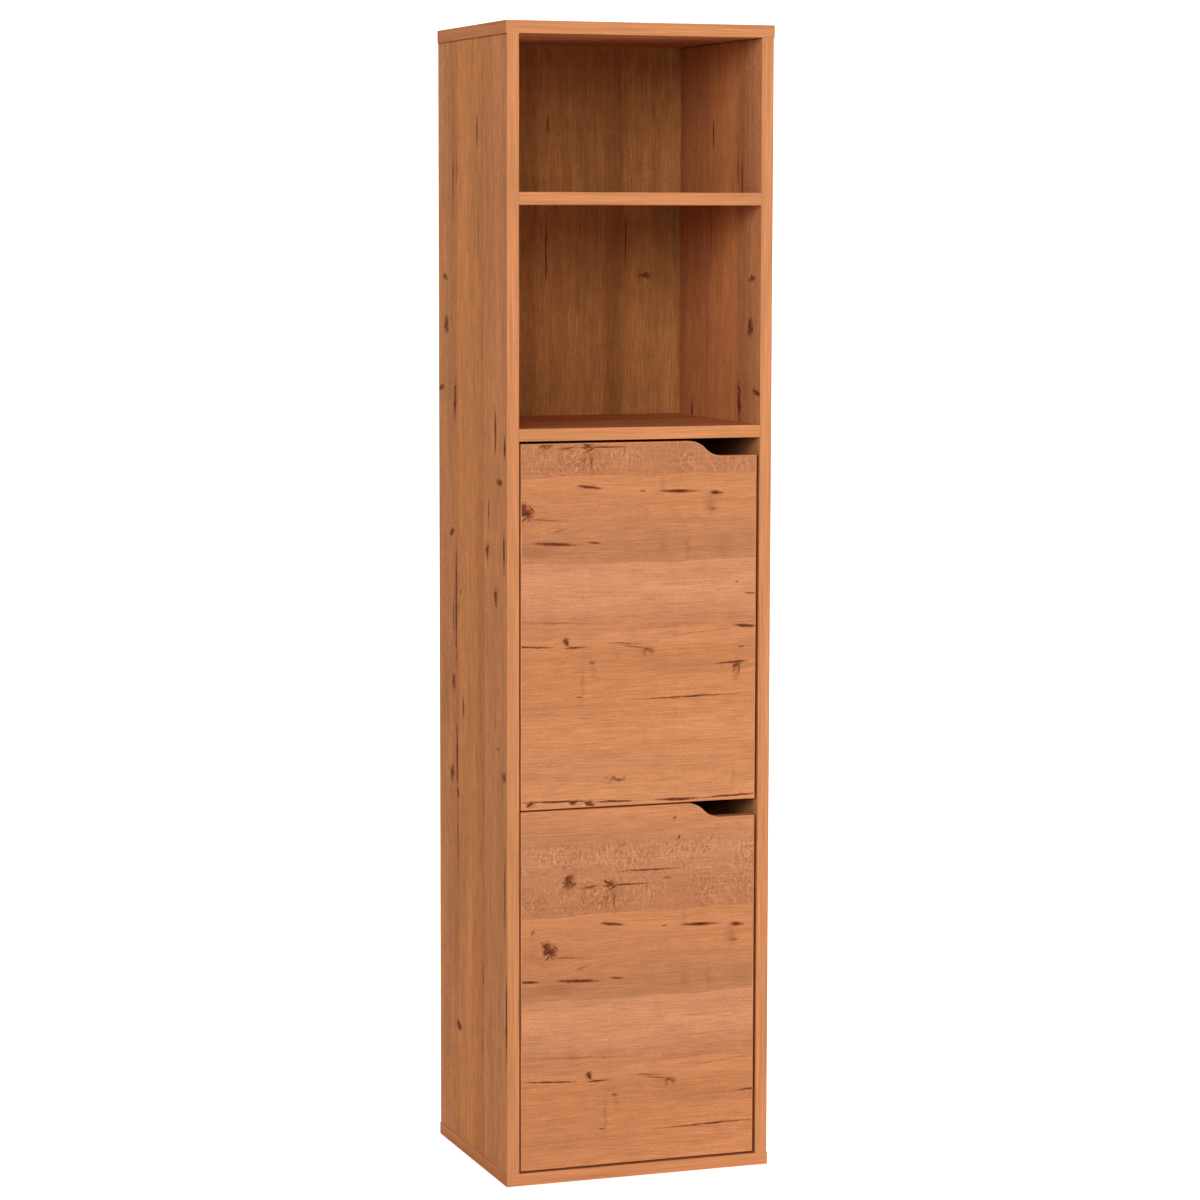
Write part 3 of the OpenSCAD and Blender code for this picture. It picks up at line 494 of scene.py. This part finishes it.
def planks_and_fibres(tree, place, pores, paper, seed):
    """The print's ground: planks with feathered edges, fibres along them and dark pore lines."""
    low, high = paper.tones[0][0], paper.tones[-1][0]
    feathered = moved(tree, place, pattern(tree, place, 70, 2.6, shift=seed), 0.0, 9.0)
    feathered = add(tree, "ShaderNodeSeparateXYZ", {0: feathered}).outputs[1]
    feathered = add(tree, "ShaderNodeMapRange", {0: feathered, 1: low, 2: high})
    plank = add(tree, "ShaderNodeValToRGB", {0: feathered.outputs[0]})
    fill_ramp(plank.color_ramp, [((at - low) / (high - low), tone) for at, tone in paper.tones])

    tints = []
    for length, width, detail, contrast in FIBRES:
        fibre = pattern(tree, place, length, width, detail, seed * 5.3 + width).outputs[0]
        reach = contrast * paper.fibre
        tint = add(tree, "ShaderNodeMapRange", {0: fibre, **SPREAD, 3: 1 - reach, 4: 1 + reach})
        tints.append(tint.outputs[0])
    tints.append(
        add(tree, "ShaderNodeMapRange", {0: pores, 1: 0.52, 2: 0.72, 3: 1.0, 4: 0.84}).outputs[0]
    )
    return add(
        tree,
        "ShaderNodeVectorMath",
        {0: plank.outputs[0], "Scale": product(tree, *tints)},
        operation="SCALE",
    ).outputs[0]


def ray_flecks(tree, plain, bent, under, paper, seed):
    """Some planks, in patches, show pale curved lines a few millimetres apart on brown mottle."""
    edge = 10  # millimetres over which the flecks fade towards their planks' edges
    middle, reach = (paper.rays[0] + paper.rays[1]) / 2, (paper.rays[1] - paper.rays[0]) / 2
    off = add(tree, "ShaderNodeSeparateXYZ", {0: bent}).outputs[1]
    off = add(tree, "ShaderNodeMath", {0: off, 1: middle}, operation="SUBTRACT").outputs[0]
    off = add(tree, "ShaderNodeMath", {0: off}, operation="ABSOLUTE").outputs[0]
    inside = add(tree, "ShaderNodeMapRange", {0: off, 1: reach - edge, 2: reach, 3: 1.0, 4: 0.0})
    patch = pattern(tree, plain, 60, 30, 1.0, seed * 3.1).outputs[0]
    patch = add(
        tree,
        "ShaderNodeMapRange",
        {0: patch, 1: 0.38, 2: 0.56, 3: 0.3 * paper.fleck, 4: paper.fleck},
    )
    patch = product(tree, inside.outputs[0], patch.outputs[0])

    # The lines are where a swirling noise passes one of six levels
    swirl = pattern(tree, plain, 15, 30, 1.5, seed, distortion=0.5).outputs[0]
    swirl = product(tree, swirl, 6.0)
    swirl = add(tree, "ShaderNodeMath", {0: swirl, 1: 0.5}, operation="PINGPONG").outputs[0]
    pale = add(tree, "ShaderNodeMapRange", {0: swirl, 1: 0.0, 2: 0.14, 3: 0.4, 4: 0.0})
    mottle = pattern(tree, plain, 3.4, 5, 3.0, seed * 1.3, distortion=1.0).outputs[0]
    dusky = add(tree, "ShaderNodeMapRange", {0: mottle, 1: 0.38, 2: 0.52, 3: 0.75, 4: 0.0})
    for strength, colour in ((dusky, FLECK_BROWN), (pale, FLECK_PALE)):
        under = add(
            tree,
            "ShaderNodeMix",
            {"Factor": product(tree, strength.outputs[0], patch), 6: under, 7: linear(colour)},
            data_type="RGBA",
        ).outputs[2]
    return under


def knots_and_cracks(tree, plain, under, paper, seed):
    """Shadows, then knots and cracks, redder and darker towards their middle.

    Gives the colour, and how deep the cracks are.
    """
    gnarled = moved(tree, plain, pattern(tree, plain, 11, 8, 1.5, seed), 9.0, 9.0)
    ragged = moved(tree, plain, pattern(tree, plain, 18, 6, 4.0, seed), 9.0, 3.4)
    shaded = add(
        tree,
        "ShaderNodeMix",
        {"Factor": marks(tree, gnarled, paper.shades, 1.3), 6: under, 7: linear(SHADE_BROWN)},
        data_type="RGBA",
    ).outputs[2]

    # Strands run through the knots, and the cracks thin out in places
    strands = pattern(tree, gnarled, 7.0, 5.0, 1.0, seed, distortion=1.5).outputs[0]
    strands = add(tree, "ShaderNodeMapRange", {0: strands, 1: 0.4, 2: 0.6, 3: 0.55, 4: 1.15})
    knot = product(tree, marks(tree, gnarled, paper.knots, 1.5), strands.outputs[0])
    breaks = pattern(tree, plain, 9, 40, 2.0, seed * 2.0).outputs[0]
    breaks = add(tree, "ShaderNodeMapRange", {0: breaks, 1: 0.3, 2: 0.55, 3: 0.7, 4: 1.1})
    crack = product(tree, marks(tree, ragged, paper.cracks, 1.3), breaks.outputs[0])

    deep = add(tree, "ShaderNodeMath", {0: knot, 1: crack}, operation="MAXIMUM").outputs[0]
    dark = add(tree, "ShaderNodeValToRGB", {0: deep})
    fill_ramp(dark.color_ramp, CRACK_STOPS)
    seen = add(
        tree, "ShaderNodeMapRange", {0: deep, 1: 0.05, 2: 0.5}, interpolation_type="SMOOTHSTEP"
    )
    printed = add(
        tree,
        "ShaderNodeMix",
        {"Factor": seen.outputs[0], 6: shaded, 7: dark.outputs[0]},
        data_type="RGBA",
    ).outputs[2]
    return printed, crack


def raw_chipboard(tree, plain):
    """Chips of 1 to 3 mm, seen wherever no paper and no band hides them."""
    scaled = add(
        tree, "ShaderNodeMapping", {"Vector": plain, "Scale": tuple(1 / size for size in CHIP_MM)}
    )
    chips = add(tree, "ShaderNodeTexVoronoi", {"Vector": scaled.outputs[0], "Scale": 1.0})
    chip = add(tree, "ShaderNodeValToRGB", {0: chips.outputs["Color"]})
    fill_ramp(chip.color_ramp, CHIP_STOPS)
    return chip.outputs[0]


def oak_decor(name, place_and_direction, paper, seed, roughness, shade_line_height=None):
    """Melamine-faced chipboard: paper printed with knotty oak and pressed with a shallow pore.

    The eye gets planks of slightly different orange-brown, fine straight fibres, pale ray flecks
    across them, knots with dark strands, tapered cracks and, where no band hides them, raw chips.
    A shade line height is in millimetres: just under it, painted shade draws a dark line where the
    top panel's shadow falls.
    """
    material, tree = new_material(name)
    plain, direction = place_and_direction(tree)
    bent = flowing(tree, plain, paper.knots)
    bent = moved(tree, bent, pattern(tree, plain, 170, 60, shift=seed * 3.7), 0.0, 9.0)
    # Pores 0.8 mm wide, because real ones are too fine to show
    pores = pattern(tree, bent, 26, 0.8, 3.0).outputs[0]
    printed = planks_and_fibres(tree, bent, pores, paper, seed)
    printed = ray_flecks(tree, plain, bent, printed, paper, seed)
    printed, crack = knots_and_cracks(tree, plain, printed, paper, seed)
    # Painted shade: darker towards the top panel, in a line as wide as JOINT_MM
    if shade_line_height:
        height = add(tree, "ShaderNodeSeparateXYZ", {0: plain}).outputs[0]
        line = {0: height, 1: shade_line_height - JOINT_MM, 2: shade_line_height - 0.2 * JOINT_MM, 3: 0.0, 4: 0.75}
        line = add(tree, "ShaderNodeMapRange", line).outputs[0]
        printed = add(
            tree,
            "ShaderNodeMix",
            {"Factor": line, 6: printed, 7: linear(JOINT_SHADE_BROWN)},
            data_type="RGBA",
        ).outputs[2]

    # The paper covers the two faces alone
    through = add(tree, "ShaderNodeSeparateXYZ", {0: direction}).outputs[2]
    through = add(tree, "ShaderNodeMath", {0: through}, operation="ABSOLUTE").outputs[0]
    face = add(tree, "ShaderNodeMath", {0: through, 1: FACING}, operation="GREATER_THAN")
    colour = add(
        tree,
        "ShaderNodeMix",
        {"Factor": face.outputs[0], 6: raw_chipboard(tree, plain), 7: printed},
        data_type="RGBA",
    )

    # The pores are pressed in too, and so are the cracks
    height = add(tree, "ShaderNodeMath", {0: pores, 1: crack}, operation="SUBTRACT")
    bump = add(
        tree,
        "ShaderNodeBump",
        {"Height": height.outputs[0], "Strength": 0.25, "Distance": 0.12 / MM},
    )
    rough = add(tree, "ShaderNodeMapRange", {0: pores, 3: roughness - 0.06, 4: roughness + 0.08})
    shader = add(
        tree,
        "ShaderNodeBsdfPrincipled",
        {
            "Base Color": colour.outputs[2],
            "Roughness": rough.outputs[0],
            "Normal": bump.outputs[0],
            "IOR": 1.5,
            "Specular IOR Level": OAK_GLOSS,
        },
    )
    add(tree, "ShaderNodeOutputMaterial", {"Surface": shader.outputs[0]})
    return material


def edge_band(name, along, across, seed, colour, shaded_end_colour=None):
    """Ironed-on straight-grain oak band: paler than the faces, with fine orange lines along it.

    With a shaded end colour, the stretches that face left and right are darkened to the sides'
    tone: painted shade, for the lesser light that falls on them.
    """
    material, tree = new_material(name)
    place = add(tree, "ShaderNodeTexCoord")
    split = add(tree, "ShaderNodeSeparateXYZ", {0: place.outputs["Object"]})
    turned = {0: split.outputs[along[0]], 1: split.outputs[across], 2: split.outputs[along[1]]}
    turned = add(tree, "ShaderNodeCombineXYZ", turned)
    tints = []
    for length, width, contrast in BAND_FIBRES:
        placed = add(
            tree,
            "ShaderNodeMapping",
            {
                "Vector": turned.outputs[0],
                "Location": (seed, seed * 2.3, seed * 0.7),
                "Scale": (MM / length, MM / width, MM / length),
            },
        )
        fibre = add(
            tree, "ShaderNodeTexNoise", {"Vector": placed.outputs[0], "Scale": 1.0, "Detail": 3.0}
        )
        tint = {0: fibre.outputs[0], **SPREAD, 3: 1 - contrast, 4: 1 + contrast}
        tints.append(add(tree, "ShaderNodeMapRange", tint).outputs[0])
    tint = product(tree, *tints)
    base = linear(colour)[:3]
    # Painted shade: the stretches that face left or right take the darker end colour
    if shaded_end_colour:
        sideways = add(tree, "ShaderNodeSeparateXYZ", {0: place.outputs["Normal"]}).outputs[0]
        sideways = add(tree, "ShaderNodeMath", {0: sideways}, operation="ABSOLUTE").outputs[0]
        sideways = add(
            tree, "ShaderNodeMath", {0: sideways, 1: FACING}, operation="GREATER_THAN"
        ).outputs[0]
        base = add(
            tree,
            "ShaderNodeMix",
            {"Factor": sideways, 6: linear(colour), 7: linear(shaded_end_colour)},
            data_type="RGBA",
        ).outputs[2]
    tinted = add(tree, "ShaderNodeVectorMath", {0: base, "Scale": tint}, operation="SCALE")
    bump = add(tree, "ShaderNodeBump", {"Height": tint, "Strength": 0.2, "Distance": 0.1 / MM})
    shader = add(
        tree,
        "ShaderNodeBsdfPrincipled",
        {
            "Base Color": tinted.outputs[0],
            "Roughness": 0.5,
            "Normal": bump.outputs[0],
            "IOR": 1.5,
            "Specular IOR Level": OAK_GLOSS,
        },
    )
    add(tree, "ShaderNodeOutputMaterial", {"Surface": shader.outputs[0]})
    return material


def grained(
    name, dark, light, size, rough, metal=0.0, ior=None, sheen=0.5, stretch=(1, 1, 1), bump_mm=0.02
):
    """A finish with a fine all-over grain of the given size in millimetres."""
    material, tree = new_material(name)
    place = add(tree, "ShaderNodeTexCoord")
    scaled = add(
        tree,
        "ShaderNodeMapping",
        {"Vector": place.outputs["Object"], "Scale": tuple(MM / (size * s) for s in stretch)},
    )
    grain = add(
        tree, "ShaderNodeTexNoise", {"Vector": scaled.outputs[0], "Scale": 1.0, "Detail": 4.0}
    )
    tone = add(tree, "ShaderNodeValToRGB", {0: grain.outputs[0]})
    fill_ramp(tone.color_ramp, ((SPREAD[1], dark), (SPREAD[2], light)))
    roughness = add(
        tree, "ShaderNodeMapRange", {0: grain.outputs[0], 3: rough - 0.08, 4: rough + 0.08}
    )
    bump = add(
        tree,
        "ShaderNodeBump",
        {"Height": grain.outputs[0], "Strength": 0.3, "Distance": bump_mm / MM},
    )
    shader = add(
        tree,
        "ShaderNodeBsdfPrincipled",
        {
            "Base Color": tone.outputs[0],
            "Metallic": metal,
            "Roughness": roughness.outputs[0],
            "Specular IOR Level": sheen,
            "Normal": bump.outputs[0],
        },
    )
    if ior:
        shader.inputs["IOR"].default_value = ior
    add(tree, "ShaderNodeOutputMaterial", {"Surface": shader.outputs[0]})
    return material


def white_to_the_eye(tree):
    """1 where the camera, a metal or a glass looks, 0 for the light that falls on things."""
    path = add(tree, "ShaderNodeLightPath").outputs
    seen = add(
        tree,
        "ShaderNodeMath",
        {0: path["Is Camera Ray"], 1: path["Is Glossy Ray"]},
        operation="ADD",
    )
    return add(
        tree,
        "ShaderNodeMath",
        {0: seen.outputs[0], 1: path["Is Transmission Ray"]},
        operation="ADD",
        use_clamp=True,
    ).outputs[0]


class TowerFinish(bpy.types.PropertyGroup):
    """Finishes that a user would change"""

    band_colour: bpy.props.StringProperty(
        name="Edge bands",
        description="Colour of the straight-grain bands, as sRGB hex",
        default="#D58D5D",
    )
    # Painted shade: the darker colour on the panels' ends stands in for the lesser light they get
    shaded_end_colour: bpy.props.StringProperty(
        name="Panel ends",
        description="Colour of the band on the panels' ends, as sRGB hex",
        default="#B87244",
    )
    gloss: bpy.props.FloatProperty(
        name="Board roughness",
        description="Mean roughness of the boards' faces",
        default=0.7,
        min=0.1,
        max=1.0,
        subtype="FACTOR",
    )


class TowerStage(bpy.types.PropertyGroup):
    """Camera and light"""

    eye: bpy.props.FloatVectorProperty(
        name="Camera place",
        description="Where the camera stands",
        default=(-1.4982, -4.2288, 1.1692),
        subtype="TRANSLATION",
        unit="LENGTH",
    )
    yaw: bpy.props.FloatProperty(
        name="Camera turn",
        description="How far the camera looks to the right of straight back",
        default=0.340,
        subtype="ANGLE",
        unit="ROTATION",
    )
    pitch: bpy.props.FloatProperty(
        name="Camera tilt",
        description="How far the camera looks down",
        default=0.105,
        subtype="ANGLE",
        unit="ROTATION",
    )
    roll: bpy.props.FloatProperty(
        name="Camera roll",
        description="How far the camera leans",
        default=0.002,
        subtype="ANGLE",
        unit="ROTATION",
    )
    lens: bpy.props.FloatProperty(
        name="Lens",
        description="Focal length on a 36 mm sensor",
        default=108.795,
        min=10.0,
        max=400.0,
        unit="CAMERA",
    )
    front_power: bpy.props.FloatProperty(
        name="Front lamp",
        description="Power of the raised soft box in front",
        default=255.0,
        min=0.0,
        unit="POWER",
    )
    near_left_power: bpy.props.FloatProperty(
        name="Near left lamp",
        description="Power of the soft box to the front left",
        default=372.0,
        min=0.0,
        unit="POWER",
    )
    far_left_power: bpy.props.FloatProperty(
        name="Far left lamp",
        description="Power of the soft box on the left",
        default=128.0,
        min=0.0,
        unit="POWER",
    )
    right_power: bpy.props.FloatProperty(
        name="Right lamp",
        description="Power of the soft box on the right",
        default=124.0,
        min=0.0,
        unit="POWER",
    )
    rear_power: bpy.props.FloatProperty(
        name="Rear lamp",
        description="Power of the soft box behind",
        default=60.0,
        min=0.0,
        unit="POWER",
    )
    sky: bpy.props.FloatProperty(
        name="Fill",
        description="Strength of the even light all round",
        default=0.05,
        min=0.0,
        max=1.0,
        subtype="FACTOR",
    )


class TOWER_OT_doors(bpy.types.Operator):
    """Give both doors the level knotty print, each cut from its own place in it"""

    bl_idname = "tower.doors"
    bl_label = "Doors"

    def execute(self, context):
        finish = context.scene.tower_finish
        low_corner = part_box("lower_door_band")[0]
        up_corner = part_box("upper_door_band")[0]
        shifts = {
            "lower_door": (-low_corner.x * MM, -low_corner.z * MM, 0),
            "upper_door": (UPPER_CUT[0] - up_corner.x * MM, UPPER_CUT[1] - up_corner.z * MM, 0),
        }
        for name, shift in shifts.items():
            reach_print = cut((0, 2, 1), shift)
            decor = oak_decor(f"{name}_oak_melamine", reach_print, DOOR_PRINT, 3.0, finish.gloss)
            give((name,), decor)
        return {"FINISHED"}


class TOWER_OT_case(bpy.types.Operator):
    """Give the sides, the level boards and the back panel their print"""

    bl_idname = "tower.case"
    bl_label = "Case"

    def execute(self, context):
        finish = context.scene.tower_finish
        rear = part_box("left_side")[1].y * MM
        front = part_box("right_side")[0].y * MM
        # (name, how it was cut, print, seed, how much duller than the rest)
        boards = [
            ("left_side", cut((2, 1, 0), (0, 0, 0), rear), SIDE_PRINT, 5.0, 0.0),
            ("right_side", cut((2, 1, 0), (0, -front, 0)), SIDE_PRINT, 5.0, 0.0),
            ("back_panel", cut((2, 0, 1), (0, 0, 0)), BACK_PRINT, 7.0, 0.1),
        ]
        for number, name in enumerate(LEVEL_BOARDS):
            shift = (number * 17.0, number * 9.0, 0)
            boards.append((name, cut((0, 1, 2), shift), LEVEL_PRINT, 11.0 + number, 0.0))
        for name, reach_print, paper, seed, duller in boards:
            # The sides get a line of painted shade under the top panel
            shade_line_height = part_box(name)[1].z * MM if name in SIDES else None
            decor = oak_decor(
                f"{name}_oak_melamine", reach_print, paper, seed, finish.gloss + duller, shade_line_height
            )
            give((name,), decor)
        return {"FINISHED"}


class TOWER_OT_bands(bpy.types.Operator):
    """Give every edge band its straight grain, along the band"""

    bl_idname = "tower.bands"
    bl_label = "Edge bands"

    def execute(self, context):
        finish = context.scene.tower_finish
        colour, shaded_end_colour = finish.band_colour, finish.shaded_end_colour
        give(UPRIGHT_BANDS, edge_band("upright_oak_edge_band", (2, 1), 0, 1.0, colour))
        # The level bands' ends get painted shade
        give(LEVEL_BANDS, edge_band("level_oak_edge_band", (0, 1), 2, 2.0, colour, shaded_end_colour))
        give(DOOR_BANDS, edge_band("door_oak_edge_band", (0, 2), 1, 3.0, colour))
        return {"FINISHED"}


class TOWER_OT_fittings(bpy.types.Operator):
    """Finish the hinges, the catches and what fastens the boards"""

    bl_idname = "tower.fittings"
    bl_label = "Hinges, catches and fastenings"

    def execute(self, context):
        # Nickel-plated pressed steel: bright, with the soft grain of the rolled sheet
        nickel = grained("nickel_plated_pressed_steel", "#B9BABC", "#D2D2D0", 0.6, 0.3, metal=1.0)
        # Zinc-plated wire and screw steel: greyer and duller
        zinc = grained("zinc_plated_steel", "#9B9DA1", "#B9BABB", 0.5, 0.38, metal=1.0)
        # Die-cast zinc, tumbled: dull grey with fine pits
        cast = grained(
            "tumbled_zinc_die_casting", "#8E8F92", "#A9AAAC", 0.8, 0.5, metal=1.0, bump_mm=0.05
        )
        # Moulded ABS, brown, with a spark-eroded texture
        plastic = grained("brown_moulded_abs", "#5F3E28", "#6E4A31", 0.4, 0.55, ior=1.53)
        # Moulded polyethylene plugs in the colour of the boards, slightly waxy. Their gloss is
        # low because the white room would veil their colour, as it would the boards'
        plug = grained(
            "oak_brown_moulded_polyethylene", "#AD6D43", "#BC7A4D", 0.5, 0.7, ior=1.5, sheen=0.04
        )
        # Ferrite magnet between steel poles: charcoal grey, ground flat
        ferrite = grained("ground_ferrite", "#2E2E30", "#47474A", 0.5, 0.5, metal=0.4)
        # Raw fluted beech: pale, with short darker flecks along the dowel
        beech = grained("fluted_beech", "#C9A679", "#DDBF92", 1.2, 0.65, ior=1.5, stretch=(2, 1, 2))
        give(HINGE_PARTS + STRIKES, nickel)
        give(SCREWS, zinc)
        give(CAMS, cast)
        give(CATCH_BODIES, plastic)
        give(("top_screw_plugs",), plug)
        give(MAGNETS, ferrite)
        give(DOWELS, beech)
        return {"FINISHED"}


class TOWER_OT_stage(bpy.types.Operator):
    """Set the floor, the even light, the soft boxes and the camera"""

    bl_idname = "tower.stage"
    bl_label = "Studio"

    def execute(self, context):
        scene = context.scene
        stage = scene.tower_stage

        # Pale floor that curves up into a backdrop. It glows for the eye alone, least near the
        # tower, where it keeps the shadow
        material, tree = new_material("pale_studio_floor")
        middle = add(tree, "ShaderNodeTexCoord")
        away = add(
            tree, "ShaderNodeVectorMath", {0: middle.outputs["Object"]}, operation="LENGTH"
        )
        glow = add(
            tree,
            "ShaderNodeMapRange",
            {0: away.outputs["Value"], **FLOOR_GLOW},
            interpolation_type="SMOOTHSTEP",
        ).outputs[0]
        lit = add(tree, "ShaderNodeBsdfDiffuse", {"Color": linear(FLOOR_GREY)})
        shown = add(
            tree, "ShaderNodeEmission", {"Strength": product(tree, white_to_the_eye(tree), glow)}
        )
        both = add(tree, "ShaderNodeAddShader", {0: lit.outputs[0], 1: shown.outputs[0]})
        add(tree, "ShaderNodeOutputMaterial", {"Surface": both.outputs[0]})

        half_width, near, far, rise, bend_radius, steps = 9.0, -9.0, 5.0, 7.0, 2.5, 16
        bend_start = far - bend_radius
        profile = [(near, 0.0), (bend_start, 0.0)]
        for step in range(1, steps + 1):
            angle = math.pi / 2 * step / steps
            profile.append(
                (bend_start + bend_radius * math.sin(angle), bend_radius * (1 - math.cos(angle)))
            )
        profile.append((far, rise))
        mesh = bpy.data.meshes.new("studio_floor")
        points = [(x, y, z) for y, z in profile for x in (-half_width, half_width)]
        faces = [(2 * i, 2 * i + 1, 2 * i + 3, 2 * i + 2) for i in range(len(profile) - 1)]
        mesh.from_pydata(points, [], faces)
        for face in mesh.polygons:
            face.use_smooth = True
        mesh.materials.append(material)
        floor = bpy.data.objects.new("studio_floor", mesh)
        scene.collection.objects.link(floor)

        # Even light all round, white where the camera, metal or glass sees it
        world = bpy.data.worlds.new("studio_light")
        world.use_nodes = True
        tree = world.node_tree
        tree.nodes.clear()
        level = add(
            tree, "ShaderNodeMapRange", {0: white_to_the_eye(tree), 3: stage.sky, 4: 1.0}
        )
        sky = add(
            tree,
            "ShaderNodeBackground",
            {"Color": linear("#FFFFFF"), "Strength": level.outputs[0]},
        )
        add(tree, "ShaderNodeOutputWorld", {"Surface": sky.outputs[0]})
        scene.world = world

        for name, turn, lift, distance, size in SOFT_BOXES:
            lamp = bpy.data.lights.new(f"{name}_soft_box", "AREA")
            lamp.shape = "RECTANGLE"
            lamp.size = size
            lamp.size_y = size
            lamp.energy = getattr(stage, f"{name}_power")
            turn, lift = math.radians(turn), math.radians(lift)
            away = Vector(
                (math.sin(turn) * math.cos(lift), -math.cos(turn) * math.cos(lift), math.sin(lift))
            )
            box = bpy.data.objects.new(f"{name}_soft_box", lamp)
            box.location = Vector((0, 0, AIM_HEIGHT)) + away * distance
            box.rotation_euler = away.to_track_quat("Z", "Y").to_euler()
            scene.collection.objects.link(box)

        camera = bpy.data.objects.new("camera", bpy.data.cameras.new("camera"))
        camera.data.sensor_width = 36.0
        camera.data.lens = stage.lens
        camera.data.clip_end = 100.0
        ahead = Vector(
            (
                math.sin(stage.yaw) * math.cos(stage.pitch),
                math.cos(stage.yaw) * math.cos(stage.pitch),
                -math.sin(stage.pitch),
            )
        )
        level_right = Vector((math.cos(stage.yaw), -math.sin(stage.yaw), 0))
        level_up = level_right.cross(ahead)
        right = math.cos(stage.roll) * level_right + math.sin(stage.roll) * level_up
        up = math.cos(stage.roll) * level_up - math.sin(stage.roll) * level_right
        turn = Matrix((right, up, -ahead)).transposed()
        camera.matrix_world = Matrix.Translation(stage.eye) @ turn.to_4x4()
        scene.collection.objects.link(camera)
        scene.camera = camera
        scene.view_settings.view_transform = "Standard"
        return {"FINISHED"}


OPERATORS = (TOWER_OT_stage, TOWER_OT_case, TOWER_OT_doors, TOWER_OT_bands, TOWER_OT_fittings)


class TOWER_PT_panel(bpy.types.Panel):
    """The tower's steps and settings"""

    bl_idname = "TOWER_PT_panel"
    bl_label = "Tower"
    bl_space_type = "VIEW_3D"
    bl_region_type = "UI"
    bl_category = "Tower"

    def draw(self, context):
        for group in (context.scene.tower_finish, context.scene.tower_stage):
            for name in group.__annotations__:
                self.layout.prop(group, name)
        for operator in OPERATORS:
            self.layout.operator(operator.bl_idname)


CLASSES = (TowerFinish, TowerStage) + OPERATORS + (TOWER_PT_panel,)


def register():
    for made in CLASSES:
        bpy.utils.register_class(made)
    bpy.types.Scene.tower_finish = bpy.props.PointerProperty(type=TowerFinish)
    bpy.types.Scene.tower_stage = bpy.props.PointerProperty(type=TowerStage)


def unregister():
    del bpy.types.Scene.tower_finish
    del bpy.types.Scene.tower_stage
    for made in reversed(CLASSES):
        bpy.utils.unregister_class(made)


def main():
    register()
    for operator in OPERATORS:
        group, name = operator.bl_idname.split(".")
        getattr(getattr(bpy.ops, group), name)()


if __name__ == "__main__":
    main()
